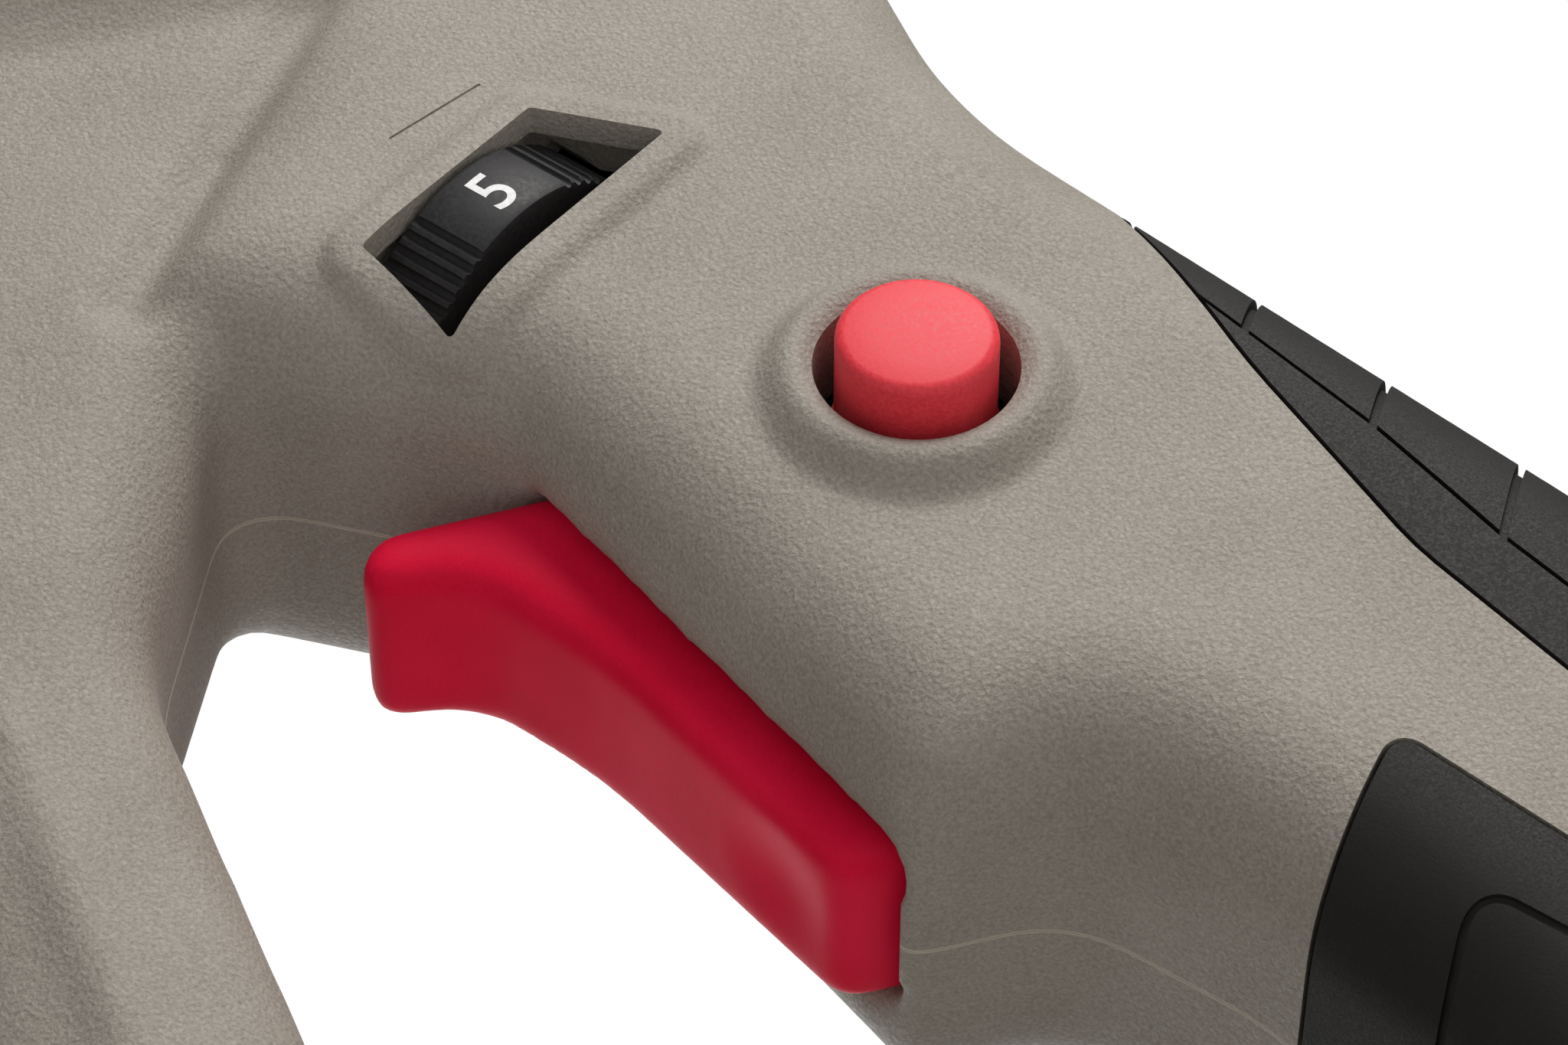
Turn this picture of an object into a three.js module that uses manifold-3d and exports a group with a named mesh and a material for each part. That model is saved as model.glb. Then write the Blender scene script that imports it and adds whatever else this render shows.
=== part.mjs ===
// Cordless hot-melt glue gun with a closed handle, a sliding trigger and a battery foot.
// Millimetres. +X points to the nozzle, +Y to the user's left, +Z up from the battery's base.
import * as THREE from 'three';
import { mergeVertices } from 'three/addons/utils/BufferGeometryUtils.js';
import Module from 'manifold-3d';

const wasm = await Module();
wasm.setup();

// ---------------------------------------------------------------- driving dimensions
const gap = 0.3;                 // clearance between pieces that touch
const slideGap = 0.5;            // clearance beside a moving lever
const wall = 2.6;                // moulded wall of the housing
const padDepth = 2;              // depth of the rubber grips let into the handle
const farSide = 40;              // reach of a cut that passes the housing's side

const barrelZ = 206;             // height of the glue stick's axis
const barrelRadius = 27;
const barrelBack = -10;
const barrelFront = 112;
const barrelNose = 21;           // radius of the barrel at its front end
const barrelTail = 20;           // radius of the barrel at its back end

const gripHalf = 17;             // half the thickness of the handle and neck
const gripRound = 9;             // edge rounding of the handle and neck
const webHalf = 14.5;            // half the thickness of the web in front of the neck
const guardHalf = 10;            // half the thickness of the guard at its slimmest
const guardFront = 66;           // front face of the guard

const footTop = 58;
const footBottom = 34;
const footBack = -57;
const footFront = 62;
const footHalf = 34;
const footCorner = 16;

const batteryHalf = 36.5;
const batteryBack = -57;
const batteryFront = 62;
const batteryWall = 2.5;
const batterySplit = 16.7;       // height of the joint between the two battery cases
const railHalf = 22;             // half width of the battery's rail
const railNeck = 18;             // half width of the rail's narrow part
const railHeight = 6.6;
const railLip = 2.5;             // thickness of the foot's lips that hold the rail

const cellRadius = 9.2;
const cellLength = 65;
const cellPitch = 19;
const cellCount = 5;

const stickRadius = 5.65;
const stickBack = -104;
const chamberLength = 42;
const chamberRadius = stickRadius + 6.35;
const nozzleLength = 46;
const nozzleTip = 2.6;           // radius of the nozzle's end
const collarLength = 12;

const triggerHalf = 6.7;         // half the width of the trigger
const triggerTravel = 8;
const triggerTop = 142.2;
const triggerBottom = 108.2;

const rockerPivot = [6, 160];    // X and Z of the rocker's pin
const rockerLow = 29;            // arm from the pin down to the trigger's finger
const rockerHigh = 28;           // arm from the pin up to the carriage
const rockerHalf = 1.6;
const rockerPinRadius = 2;
const leverTip = 2.1;            // radius of the rocker's two round ends

const buttonAt = [3, 134];       // X and Z of the power button
const buttonRadius = 4.85;
const buttonTop = 21.4;
const buttonBore = buttonRadius + 1.3;
const buttonCollar = buttonBore + 1.8;
const collarRise = 1.8;

const slotAt = [22.3, 156];      // X and Z of the middle of the dial's slot
const dialLean = 34.5;           // degrees between the dial's axis and the vertical
const dialRadius = 11;
const dialWidth = 5.6;
const dialRise = 0.8;            // how far the dial's rim stands out of the neck
const slotTop = 15.6;            // length of the dial slot's upper side
const slotBottom = 20.3;         // length of the dial slot's lower side
const slotHeight = dialWidth + 2.4;
const lipWidth = 2;
const lipRise = 0.8;

const screwRadius = 1.7;
const screwHead = 3.3;
const screwHeadHeight = 2.2;
const screwReach = 10;           // how far a housing screw passes the parting plane
const bossWall = 2.2;

// ---------------------------------------------------------------- shared geometry helpers
const Y_UP = new THREE.Matrix4().makeRotationX(Math.PI / 2);

// A closed polygon whose corners [x, y, radius] are rounded by arcs.
function filleted(corners) {
  const points = [];
  corners.forEach(([x, y, radius = 0], i) => {
    const here = new THREE.Vector2(x, y);
    if (!radius) {
      points.push(here);
      return;
    }
    const before = new THREE.Vector2(...corners.at(i - 1)).sub(here).normalize();
    const after = new THREE.Vector2(...corners[(i + 1) % corners.length]).sub(here).normalize();
    const half = Math.acos(THREE.MathUtils.clamp(before.dot(after), -1, 1)) / 2;
    const start = here.clone().addScaledVector(before, radius / Math.tan(half));
    const middle = before.clone().add(after).normalize().multiplyScalar(radius / Math.sin(half));
    const centre = here.clone().add(middle);
    const sweep = (Math.PI - 2 * half) * -Math.sign(before.cross(after));
    const steps = Math.max(2, Math.round(Math.abs(sweep) / 0.5));
    for (let k = 0; k <= steps; k += 1) {
      points.push(start.clone().rotateAround(centre, (sweep * k) / steps));
    }
  });
  return new THREE.Shape(points);
}

function solid(geometry) {
  const bare = geometry.clone();
  bare.deleteAttribute('normal');
  bare.deleteAttribute('uv');
  const merged = mergeVertices(bare, 1e-4);
  return new wasm.Manifold(new wasm.Mesh({
    numProp: 3,
    vertProperties: new Float32Array(merged.attributes.position.array),
    triVerts: new Uint32Array(merged.index.array),
  }));
}

function join(...solids) {
  return solids.reduce((all, one) => all.add(one));
}

function cut(body, ...tools) {
  return tools.reduce((left, tool) => left.subtract(tool), body);
}

// A plate with rounded edges: the outline lies in X and Z, the thickness runs from low to high Y.
// inset shrinks it on every side, which makes the hollow inside a wall or a fit with clearance.
function slab(outline, low, high, round = 0, inset = 0) {
  const rounded = round > inset;
  const edge = rounded ? round - inset : 0.01;
  const bevelled = round > 0 || inset > 0;
  const geometry = new THREE.ExtrudeGeometry(outline, {
    depth: high - low - 2 * inset - (bevelled ? 2 * edge : 0),
    steps: 1,
    bevelEnabled: bevelled,
    bevelSegments: rounded && !inset ? 2 : 1,
    bevelThickness: edge,
    bevelSize: rounded ? edge : 0,
    bevelOffset: rounded ? -round : -inset,
  });
  geometry.applyMatrix4(Y_UP);
  geometry.translate(0, high - inset - (bevelled ? edge : 0), 0);
  return geometry;
}

// The same kind of plate lying flat, with its outline in X and Y and its thickness along Z.
function tile(outline, low, high, round = 0) {
  const geometry = new THREE.ExtrudeGeometry(outline, {
    depth: high - low - 2 * round,
    steps: 1,
    bevelEnabled: round > 0,
    bevelSegments: 2,
    bevelThickness: round,
    bevelSize: round,
    bevelOffset: -round,
  });
  geometry.translate(0, 0, low + round);
  return geometry;
}

function block(x0, x1, y0, y1, z0, z1) {
  const geometry = new THREE.BoxGeometry(x1 - x0, y1 - y0, z1 - z0);
  geometry.translate((x0 + x1) / 2, (y0 + y1) / 2, (z0 + z1) / 2);
  return geometry;
}

function rectangle(x0, x1, halfY, corner) {
  return filleted([[x0, -halfY, corner], [x1, -halfY, corner], [x1, halfY, corner], [x0, halfY, corner]]);
}

// A turned shape: the profile gives [radius, height] pairs along a direction from a point.
function turned(profile, at, direction, segments = 20) {
  const points = profile.map(([radius, height]) => new THREE.Vector2(radius, height));
  const geometry = new THREE.LatheGeometry(points, segments);
  const turn = new THREE.Quaternion();
  turn.setFromUnitVectors(new THREE.Vector3(0, 1, 0), new THREE.Vector3(...direction).normalize());
  geometry.applyQuaternion(turn);
  geometry.translate(...at);
  const volume = signedVolume(geometry);
  if (volume < 0) flip(geometry);
  return geometry;
}

function rod(radius, at, direction, length, segments = 14) {
  return turned([[0, 0], [radius, 0], [radius, length], [0, length]], at, direction, segments);
}

function ring(inner, outer, at, direction, length, segments = 20) {
  const profile = [[inner, 0], [outer, 0], [outer, length], [inner, length], [inner, 0]];
  return turned(profile, at, direction, segments);
}

function signedVolume(geometry) {
  const p = geometry.attributes.position;
  const index = geometry.index;
  const [a, b, c] = [new THREE.Vector3(), new THREE.Vector3(), new THREE.Vector3()];
  let volume = 0;
  for (let i = 0; i < index.count; i += 3) {
    a.fromBufferAttribute(p, index.getX(i));
    b.fromBufferAttribute(p, index.getX(i + 1));
    c.fromBufferAttribute(p, index.getX(i + 2));
    volume += a.dot(b.cross(c)) / 6;
  }
  return volume;
}

function flip(geometry) {
  const index = geometry.index;
  for (let i = 0; i < index.count; i += 3) {
    const first = index.getX(i);
    index.setX(i, index.getX(i + 2));
    index.setX(i + 2, first);
  }
}

class Helix extends THREE.Curve {
  constructor(radius, length, turns) {
    super();
    Object.assign(this, { radius, length, turns });
  }

  getPoint(t, target = new THREE.Vector3()) {
    const angle = t * this.turns * 2 * Math.PI;
    return target.set(this.radius * Math.cos(angle), this.length * t, this.radius * Math.sin(angle));
  }
}

// A coil spring from a point along a direction, with a small round wire.
function spring(at, direction, length, radius, wire, turns) {
  const section = new THREE.Shape();
  section.absarc(0, 0, wire, 0, 2 * Math.PI, false);
  const geometry = new THREE.ExtrudeGeometry(section, {
    steps: turns * 7,
    curveSegments: 2,
    bevelEnabled: false,
    extrudePath: new Helix(radius - wire, length - 2 * wire, turns),
  });
  geometry.translate(0, wire, 0);
  const turn = new THREE.Quaternion();
  turn.setFromUnitVectors(new THREE.Vector3(0, 1, 0), new THREE.Vector3(...direction).normalize());
  geometry.applyQuaternion(turn);
  geometry.translate(...at);
  return geometry;
}

const gun = new THREE.Group();
gun.name = 'glue_gun';

const FINISHES = {
  housing: new THREE.MeshStandardMaterial({ color: 0x9a9286, roughness: 0.75, metalness: 0 }),
  red: new THREE.MeshStandardMaterial({ color: 0xd0203c, roughness: 0.5, metalness: 0 }),
  rubber: new THREE.MeshStandardMaterial({ color: 0x2e2b2b, roughness: 0.85, metalness: 0 }),
  black: new THREE.MeshStandardMaterial({ color: 0x1d1c1d, roughness: 0.55, metalness: 0 }),
  steel: new THREE.MeshStandardMaterial({ color: 0xb6b8ba, roughness: 0.35, metalness: 1 }),
  brass: new THREE.MeshStandardMaterial({ color: 0xc9a452, roughness: 0.35, metalness: 1 }),
  aluminium: new THREE.MeshStandardMaterial({ color: 0xc4c6c8, roughness: 0.45, metalness: 1 }),
  ceramic: new THREE.MeshStandardMaterial({ color: 0xe6e0d4, roughness: 0.8, metalness: 0 }),
  silicone: new THREE.MeshStandardMaterial({ color: 0x7c2b22, roughness: 0.7, metalness: 0 }),
  glue: new THREE.MeshStandardMaterial({ color: 0xeee6cf, roughness: 0.35, metalness: 0 }),
  board: new THREE.MeshStandardMaterial({ color: 0x1e5a33, roughness: 0.5, metalness: 0 }),
  cell: new THREE.MeshStandardMaterial({ color: 0x2f6f9e, roughness: 0.4, metalness: 0 }),
  lens: new THREE.MeshStandardMaterial({ color: 0x9fe0a0, roughness: 0.15, metalness: 0 }),
  nylon: new THREE.MeshStandardMaterial({ color: 0xe8e6de, roughness: 0.5, metalness: 0 }),
};

function piece(name, shape, finish) {
  let geometry = shape;
  if (!shape.isBufferGeometry) {
    const mesh = shape.getMesh();
    geometry = new THREE.BufferGeometry();
    geometry.setAttribute('position', new THREE.BufferAttribute(new Float32Array(mesh.vertProperties), 3));
    geometry.setIndex(new THREE.BufferAttribute(new Uint32Array(mesh.triVerts), 1));
  }
  const mesh = new THREE.Mesh(geometry, FINISHES[finish].clone());
  mesh.name = name;
  gun.add(mesh);
}

// ---------------------------------------------------------------- outlines of the housing
const neckCorner = [48.5, 157];          // lower front corner of the neck
const archTop = [26, triggerTop + 0.6];  // where the arch meets the trigger slot
const ledge = triggerBottom - 2.3;       // underside of the lip below the trigger
const heelX = -39;                       // back of the palm swell
const heelZ = 108.3;
const neckBack = [-9.6, 161];            // where the neck's back turns into the palm swell

const gripOutline = filleted([
  [22, barrelZ - 12],
  neckCorner,
  [archTop[0], archTop[1], 3],
  [12.4, ledge],
  [2.6, ledge, 7],
  [-5, 96, 10],
  [-13, 80, 30],
  [-13, footTop - 8],
  [-47, footTop - 8],
  [-47, 78, 20],
  [heelX, heelZ, 45],
  [...neckBack, 30],
  [-7.7, barrelZ - 12],
]);

const guardOutline = filleted([
  [80, barrelZ - 15],
  [guardFront + 2, 150, 40],
  [guardFront, 100, 60],
  [guardFront - 6, footTop - 10],
  [44, footTop - 10],
  [45, 84, 60],
  [50.2, 134, 14],
  [42, 151.6, 3],
  [22, 146],
  [12, barrelZ - 15],
]);

const gripPadEnd = 70;                   // lower end of the rubber grips

const strapOutline = filleted([
  [-17.4, 156],
  [-14.2, 147.5, 10],
  [-16.2, 130, 40],
  [-20, 113, 20],
  [-31, 86, 40],
  [-33, gripPadEnd, 4],
  [-60, gripPadEnd],
  [-60, 110],
  [-30, 156],
]);

const panelOutline = filleted([
  [-13.9, 100.6, 1.5],
  [-4, 90.5],
  [4, 88],
  [4, gripPadEnd],
  [-25.5, gripPadEnd, 4],
  [-25, 82, 14],
]);

// The guard slims from the web's thickness down to its own, over the height of the arch.
function slim(geometry) {
  const p = geometry.attributes.position;
  for (let i = 0; i < p.count; i += 1) {
    const t = THREE.MathUtils.smoothstep(p.getZ(i), footTop + 40, neckCorner[1] + 8);
    p.setY(i, p.getY(i) * THREE.MathUtils.lerp(guardHalf / webHalf, 1, t));
  }
  return geometry;
}

function barrelShape(inset) {
  const front = barrelFront + (inset ? 5 : 0);
  const back = barrelBack + inset;
  const shoulder = 30;
  return solid(turned([
    [0, back],
    [barrelTail - inset, back],
    [barrelRadius - inset - 1.5, back + 9],
    [barrelRadius - inset, back + 18],
    [barrelRadius - inset, barrelFront - shoulder],
    [barrelRadius - inset - 2, barrelFront - shoulder / 2],
    [barrelNose - inset, barrelFront],
    [barrelNose - inset, front],
    [0, front],
  ], [0, 0, barrelZ], [1, 0, 0], 26));
}

const footOutline = rectangle(footBack, footFront, footHalf, footCorner);
const footHollow = rectangle(footBack + wall, footFront - wall, footHalf - wall, footCorner - wall);

function outerShape() {
  return join(
    solid(slab(gripOutline, -gripHalf, gripHalf, gripRound)),
    solid(slim(slab(guardOutline, -webHalf, webHalf, 7))),
    barrelShape(0),
    solid(tile(footOutline, footBottom, footTop, 5)),
  );
}

function hollowShape() {
  const gripWall = wall + padDepth;
  return join(
    solid(slab(gripOutline, -gripHalf, gripHalf, gripRound, gripWall)),
    solid(slim(slab(guardOutline, -webHalf, webHalf, 7, wall + 0.4))),
    barrelShape(wall),
    solid(tile(footHollow, footBottom + railHeight + gap + wall, footTop - wall, 3)),
  );
}

// ---------------------------------------------------------------- places along the barrel
const chamberBack = barrelFront - 8 - chamberLength;
const chamberFront = chamberBack + chamberLength;
const sleeveLength = 15;
const sleeveRadius = stickRadius + 3.35;
const sleeveBack = chamberBack - gap - sleeveLength;
const stickFront = chamberBack + 8;
const frontCollarRadius = 16.5;
const ledAt = [45, barrelZ + 3];
const ledRadius = 2.5;
const guideRadius = stickRadius + 6.35;
const guideLength = 11;
const guideBack = barrelBack - 3;
const shieldRadius = chamberRadius + 8;
const bore = stickRadius + gap;
const alongX = (x) => [x, 0, barrelZ];

const carriageBack = rockerPivot[0] - 5;
const carriageLength = 24;
const carriageHalf = stickRadius + 6.35;
const jawThickness = 2.2;
const carriageHoleRadius = stickRadius + gap;
const rockerTop = rockerPivot[1] + rockerHigh;
const rockerFoot = rockerPivot[1] - rockerLow;

// ---------------------------------------------------------------- housing screws and bosses
const housingScrews = [
  { name: 'tail', x: 4, z: barrelZ + 20, head: 13 },
  { name: 'top', x: 58, z: barrelZ + 20, head: 13 },
  { name: 'web', x: 58, z: 170, head: 10.5 },
  { name: 'neck', x: -10.8, z: 116, head: 12.5 },
  { name: 'guard', x: 56.5, z: 100, head: 6.5 },
  { name: 'heel', x: -37, z: 62, head: 12.5 },
  { name: 'toe', x: 53, z: 50, head: 14 },
  { name: 'back', x: -50, z: 50, head: 14 },
];

function bosses() {
  const reach = 40;
  const shapes = housingScrews.map(({ x, z }) => (
    solid(rod(screwHead + gap + bossWall * 0.4, [x, -reach, z], [0, 1, 0], 2 * reach, 10))));
  return join(...shapes);
}

function bossHoles() {
  const shapes = housingScrews.flatMap(({ x, z, head }) => [
    solid(rod(screwRadius + gap, [x, -head - 5, z], [0, 1, 0], head + 5 + screwReach + 2, 8)),
    solid(rod(screwHead + gap, [x, -40, z], [0, 1, 0], 40 - head, 12)),
  ]);
  return join(...shapes);
}

for (const { name, x, z, head } of housingScrews) {
  const socket = solid(rod(1.4, [x, -head - screwHeadHeight - gap - 1, z], [0, 1, 0], 2.2, 6));
  const shape = solid(turned([
    [0, 0],
    [screwHead, 0],
    [screwHead, screwHeadHeight],
    [screwRadius, screwHeadHeight],
    [screwRadius, screwHeadHeight + head + screwReach],
    [0, screwHeadHeight + head + screwReach],
  ], [x, -head - screwHeadHeight - gap, z], [0, 1, 0], 10));
  piece(`housing_screw_${name}`, cut(shape, socket), 'steel');
}

// ---------------------------------------------------------------- ribs that hold the inner parts
const ribThickness = 2;
const guideRibX = guideBack + guideLength - ribThickness - 3;
const sleeveRibX = sleeveBack + 5;
const chamberRibX = chamberBack + 4;
const rockerPinReach = 9;

function rib(x, hole) {
  const plate = solid(rod(barrelRadius, alongX(x), [1, 0, 0], ribThickness, 24));
  return cut(plate, solid(rod(hole, alongX(x - 1), [1, 0, 0], ribThickness + 2, 20)));
}

// Two rails beside the carriage keep it upright while it slides.
function carriageRails() {
  const inner = carriageHalf + slideGap;
  const back = guideBack + guideLength + gap;
  const front = carriageBack + carriageLength + 12;
  return join(
    solid(block(back, front, inner, farSide, barrelZ - 3, barrelZ + 3)),
    solid(block(back, front, -farSide, -inner, barrelZ - 3, barrelZ + 3)),
  );
}

function ribs() {
  return join(
    rib(guideRibX, guideRadius - 2 + gap),
    rib(sleeveRibX, sleeveRadius - 2 + gap),
    rib(chamberRibX, chamberRadius + gap + 0.1),
    carriageRails(),
    solid(rod(rockerPinRadius + 2.5, [rockerPivot[0], -farSide, rockerPivot[1]], [0, 1, 0], 2 * farSide, 12)),
  );
}

// ---------------------------------------------------------------- dial slot in the left side
const potRadius = 4.5;
const potLength = 4.5;
const spindleRadius = 1.5;
const spindleLength = 1.6;
const lean = THREE.MathUtils.degToRad(dialLean);
const dialAxis = [Math.sin(lean), 0, Math.cos(lean)];
const dialAlong = [-Math.cos(lean), 0, Math.sin(lean)];
const dialY = gripHalf + dialRise - dialRadius;

function slotPoint(along, across) {
  return [
    slotAt[0] + dialAlong[0] * along + dialAxis[0] * across,
    slotAt[1] + dialAlong[2] * along + dialAxis[2] * across,
  ];
}

// The dial sits against the slot's upper side.
const dialAt = slotPoint(0, (slotHeight - dialWidth) / 2 - gap);

function slotOutline(grow, corner) {
  const halfHeight = slotHeight / 2 + grow;
  const top = slotTop / 2 + grow;
  const bottom = slotBottom / 2 + grow * 1.3;
  return filleted([
    [...slotPoint(-top - 0.6, halfHeight), corner],
    [...slotPoint(top - 0.6, halfHeight), corner],
    [...slotPoint(bottom + 0.6, -halfHeight), corner],
    [...slotPoint(-bottom + 0.6, -halfHeight), corner],
  ]);
}

const dialLip = () => solid(slab(slotOutline(lipWidth, 2), gripHalf - 3, gripHalf + lipRise, 0.7));
const dialSlot = () => solid(slab(slotOutline(0, 0.4), gripHalf - wall - padDepth - 1, gripHalf + 5));
const dialRoomLow = dialWidth / 2 + slideGap;
const dialRoom = () => solid(rod(
  dialRadius + slideGap,
  [dialAt[0] - dialAxis[0] * dialRoomLow, dialY, dialAt[1] - dialAxis[2] * dialRoomLow],
  dialAxis,
  dialRoomLow + dialWidth / 2 + gap,
  28,
));
const spindleHole = () => solid(rod(
  spindleRadius + gap,
  [dialAt[0] - dialAxis[0] * (dialRoomLow + 2), dialY, dialAt[1] - dialAxis[2] * (dialRoomLow + 2)],
  dialAxis,
  4,
  16,
));

// ---------------------------------------------------------------- power button bore and collar
function buttonCollarShape() {
  return solid(turned([
    [buttonBore, gripHalf - 7],
    [buttonBore, gripHalf + collarRise - 0.5],
    [buttonBore + 0.7, gripHalf + collarRise],
    [buttonCollar - 0.4, gripHalf + collarRise - 0.4],
    [buttonCollar + 0.3, gripHalf + 0.7],
    [buttonCollar + 2, gripHalf - 0.2],
    [buttonCollar + 2, gripHalf - 7],
    [buttonBore, gripHalf - 7],
  ], [buttonAt[0], 0, buttonAt[1]], [0, 1, 0], 28));
}

const buttonHole = () => solid(rod(buttonBore, [buttonAt[0], gripHalf - 9, buttonAt[1]], [0, 1, 0], 20, 28));

// ---------------------------------------------------------------- trigger slot and vents
const slotFloor = triggerBottom - gap;
const triggerSlotOutline = filleted([
  [60, triggerTop + gap],
  [8, triggerTop + gap],
  [-6, triggerTop - 18],
  [-6, slotFloor],
  [40, slotFloor],
]);
const triggerSlot = () => solid(slab(triggerSlotOutline, -triggerHalf - gap, triggerHalf + gap));

const ventCount = 4;
const ventPitch = 8;
const ventFirst = barrelFront - 44;

function vents() {
  const cuts = [];
  for (let i = 0; i < ventCount; i += 1) {
    const x = ventFirst + i * ventPitch;
    const outline = filleted([
      [x, barrelZ - 5, 1.4],
      [x + 3, barrelZ - 5, 1.4],
      [x + 7, barrelZ + 9, 1.4],
      [x + 4, barrelZ + 9, 1.4],
    ]);
    cuts.push(solid(slab(outline, -40, -barrelRadius + 9)));
    cuts.push(solid(slab(outline, barrelRadius - 9, 40)));
  }
  return join(...cuts);
}

// ---------------------------------------------------------------- battery rail channel in the foot
const channelBack = batteryBack + 11;
const railBottom = footBottom - gap;
const railTop = footBottom + railHeight;

function railChannel() {
  const clearance = gap + 0.1;
  return join(
    solid(block(channelBack - clearance, footFront + 5, -railHalf - clearance, railHalf + clearance,
      footBottom + railLip, railTop + clearance)),
    solid(block(channelBack - clearance, footFront + 5, -railNeck - clearance, railNeck + clearance,
      footBottom - 2, footBottom + railLip + 1)),
  );
}

const terminalBack = channelBack + 3;
const terminalLength = 14;
const terminalHalf = 13;
const terminalTop = footTop - wall - 4;

const terminalOpening = () => solid(block(terminalBack - gap, terminalBack + terminalLength + gap,
  -terminalHalf - gap, terminalHalf + gap, railTop, terminalTop));

// ---------------------------------------------------------------- rubber grips let into the handle
const handleCore = (depth) => solid(slab(gripOutline, -gripHalf, gripHalf, gripRound, depth));

function gripPad(outline, low, high) {
  const region = solid(slab(outline, low, high, 0, gap));
  return cut(handleCore(0).intersect(region), handleCore(padDepth));
}

const gripPocket = (outline) => cut(solid(slab(outline, -farSide, farSide)), handleCore(padDepth + gap));

const strapGrooves = 7;
const grooveFirst = 22;                  // from the neck's turn to the first groove
const groovePitch = 10.3;
const grooveDepth = 1.2;
const backLine = Math.atan2(neckBack[0] - heelX, neckBack[1] - heelZ);   // lean of the handle's back

function grooves() {
  const cuts = [];
  for (let i = 0; i < strapGrooves; i += 1) {
    const geometry = new THREE.BoxGeometry(2 * grooveDepth, 2 * farSide, 0.8);
    geometry.rotateY(backLine);
    geometry.translate(
      neckBack[0] - (grooveFirst + i * groovePitch) * Math.sin(backLine),
      0,
      neckBack[1] - (grooveFirst + i * groovePitch) * Math.cos(backLine),
    );
    cuts.push(solid(geometry));
  }
  return join(...cuts);
}

piece('back_strap', cut(gripPad(strapOutline, -farSide, farSide), grooves()), 'rubber');
piece('side_pad_left', gripPad(panelOutline, 0, farSide), 'rubber');
piece('side_pad_right', gripPad(panelOutline, -farSide, 0), 'rubber');

// ---------------------------------------------------------------- housing
function housing() {
  const outer = outerShape();
  const hollow = hollowShape();
  const structure = join(bosses(), ribs()).intersect(outer);
  const footFloor = solid(block(footBack, footFront, -footHalf, footHalf, footBottom, railTop + gap + wall));
  const shell = cut(outer, cut(hollow, structure, footFloor));
  const dressed = join(shell, dialLip(), buttonCollarShape());
  return cut(
    dressed,
    bossHoles(),
    dialSlot(),
    dialRoom(),
    spindleHole(),
    buttonHole(),
    triggerSlot(),
    vents(),
    railChannel(),
    terminalOpening(),
    gripPocket(strapOutline),
    gripPocket(panelOutline),
    barrelOpenings(),
    ledWindow(),
    movingRoom(),
    solid(rod(rockerPinRadius + gap, [rockerPivot[0], -rockerPinReach - gap, rockerPivot[1]], [0, 1, 0],
      2 * (rockerPinReach + gap), 16)),
  );
}

// The barrel is open at its tail for the stick's guide and at its nose for the collar.
function barrelOpenings() {
  return join(
    solid(rod(guideRadius + gap, alongX(barrelBack - 5), [1, 0, 0], guideRibX - gap - barrelBack + 5, 28)),
    solid(rod(frontCollarRadius + gap, alongX(barrelFront - 6), [1, 0, 0], 20, 32)),
  );
}

const ledWindow = () => solid(rod(ledRadius + gap, [ledAt[0], 15, ledAt[1]], [0, 1, 0], 20, 14));

// Room in the bosses and ribs for the rocker, the carriage and the trigger's stroke.
function movingRoom() {
  const stroke = rockerHigh / rockerLow * triggerTravel;
  return join(
    solid(block(carriageBack - jawThickness - 2 * slideGap, carriageBack + carriageLength + stroke + slideGap,
      -carriageHalf - slideGap, carriageHalf + slideGap,
      rockerTop - 4, barrelZ + carriageHalf + slideGap)),
    solid(block(rockerPivot[0] - 14, rockerPivot[0] + 16, -rockerHalf - slideGap, rockerHalf + slideGap,
      rockerFoot - 4, rockerTop + 3)),
  );
}

const shell = housing();
const half = (side) => solid(block(-150, 250, side > 0 ? gap / 2 : -120, side > 0 ? 120 : -gap / 2, -10, 300));
piece('housing_left', shell.intersect(half(1)), 'housing');
piece('housing_right', shell.intersect(half(-1)), 'housing');

// ---------------------------------------------------------------- rubber dial and its electronics
function dial() {
  const flats = 5;
  const notches = [];
  for (let i = 0; i < flats; i += 1) {
    for (let k = -1; k <= 1; k += 1) {
      const angle = ((i + 0.5) * 360) / flats + k * 9;
      const groove = new THREE.BoxGeometry(0.8, 1.1, dialWidth + 1);
      groove.translate(0, dialRadius, 0);
      groove.rotateZ(THREE.MathUtils.degToRad(angle));
      notches.push(groove);
    }
  }
  const turn = new THREE.Quaternion().setFromUnitVectors(new THREE.Vector3(0, 0, 1), new THREE.Vector3(...dialAxis));
  const tools = notches.map((groove) => {
    groove.applyQuaternion(turn);
    groove.translate(dialAt[0], dialY, dialAt[1]);
    return solid(groove);
  });
  const disc = turned([
    [0, -dialWidth / 2 - spindleLength],
    [spindleRadius, -dialWidth / 2 - spindleLength],
    [spindleRadius, -dialWidth / 2],
    [dialRadius, -dialWidth / 2],
    [dialRadius, dialWidth / 2],
    [0, dialWidth / 2],
  ], [dialAt[0], dialY, dialAt[1]], dialAxis, 36);
  return cut(solid(disc), ...tools);
}

piece('dial', dial(), 'black');

const potAt = [
  dialAt[0] + dialAxis[0] * (dialWidth / 2 + slideGap),
  dialY,
  dialAt[1] + dialAxis[2] * (dialWidth / 2 + slideGap),
];
piece('potentiometer', turned([
  [0, 0],
  [potRadius, 0],
  [potRadius, potLength],
  [0, potLength],
], potAt, dialAxis, 20), 'steel');

const boardAt = [31, 160];
function controlBoard() {
  const [x, z] = boardAt;
  return join(...[
    block(x, sleeveRibX - gap, -5, -3.4, z, z + 16),
    block(x + 3, x + 9, -3.5, -1.6, z + 5, z + 11),
    block(x + 12, x + 16, -3.5, 1, z + 4, z + 14),
  ].map(solid));
}

piece('control_board', controlBoard(), 'board');

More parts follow.
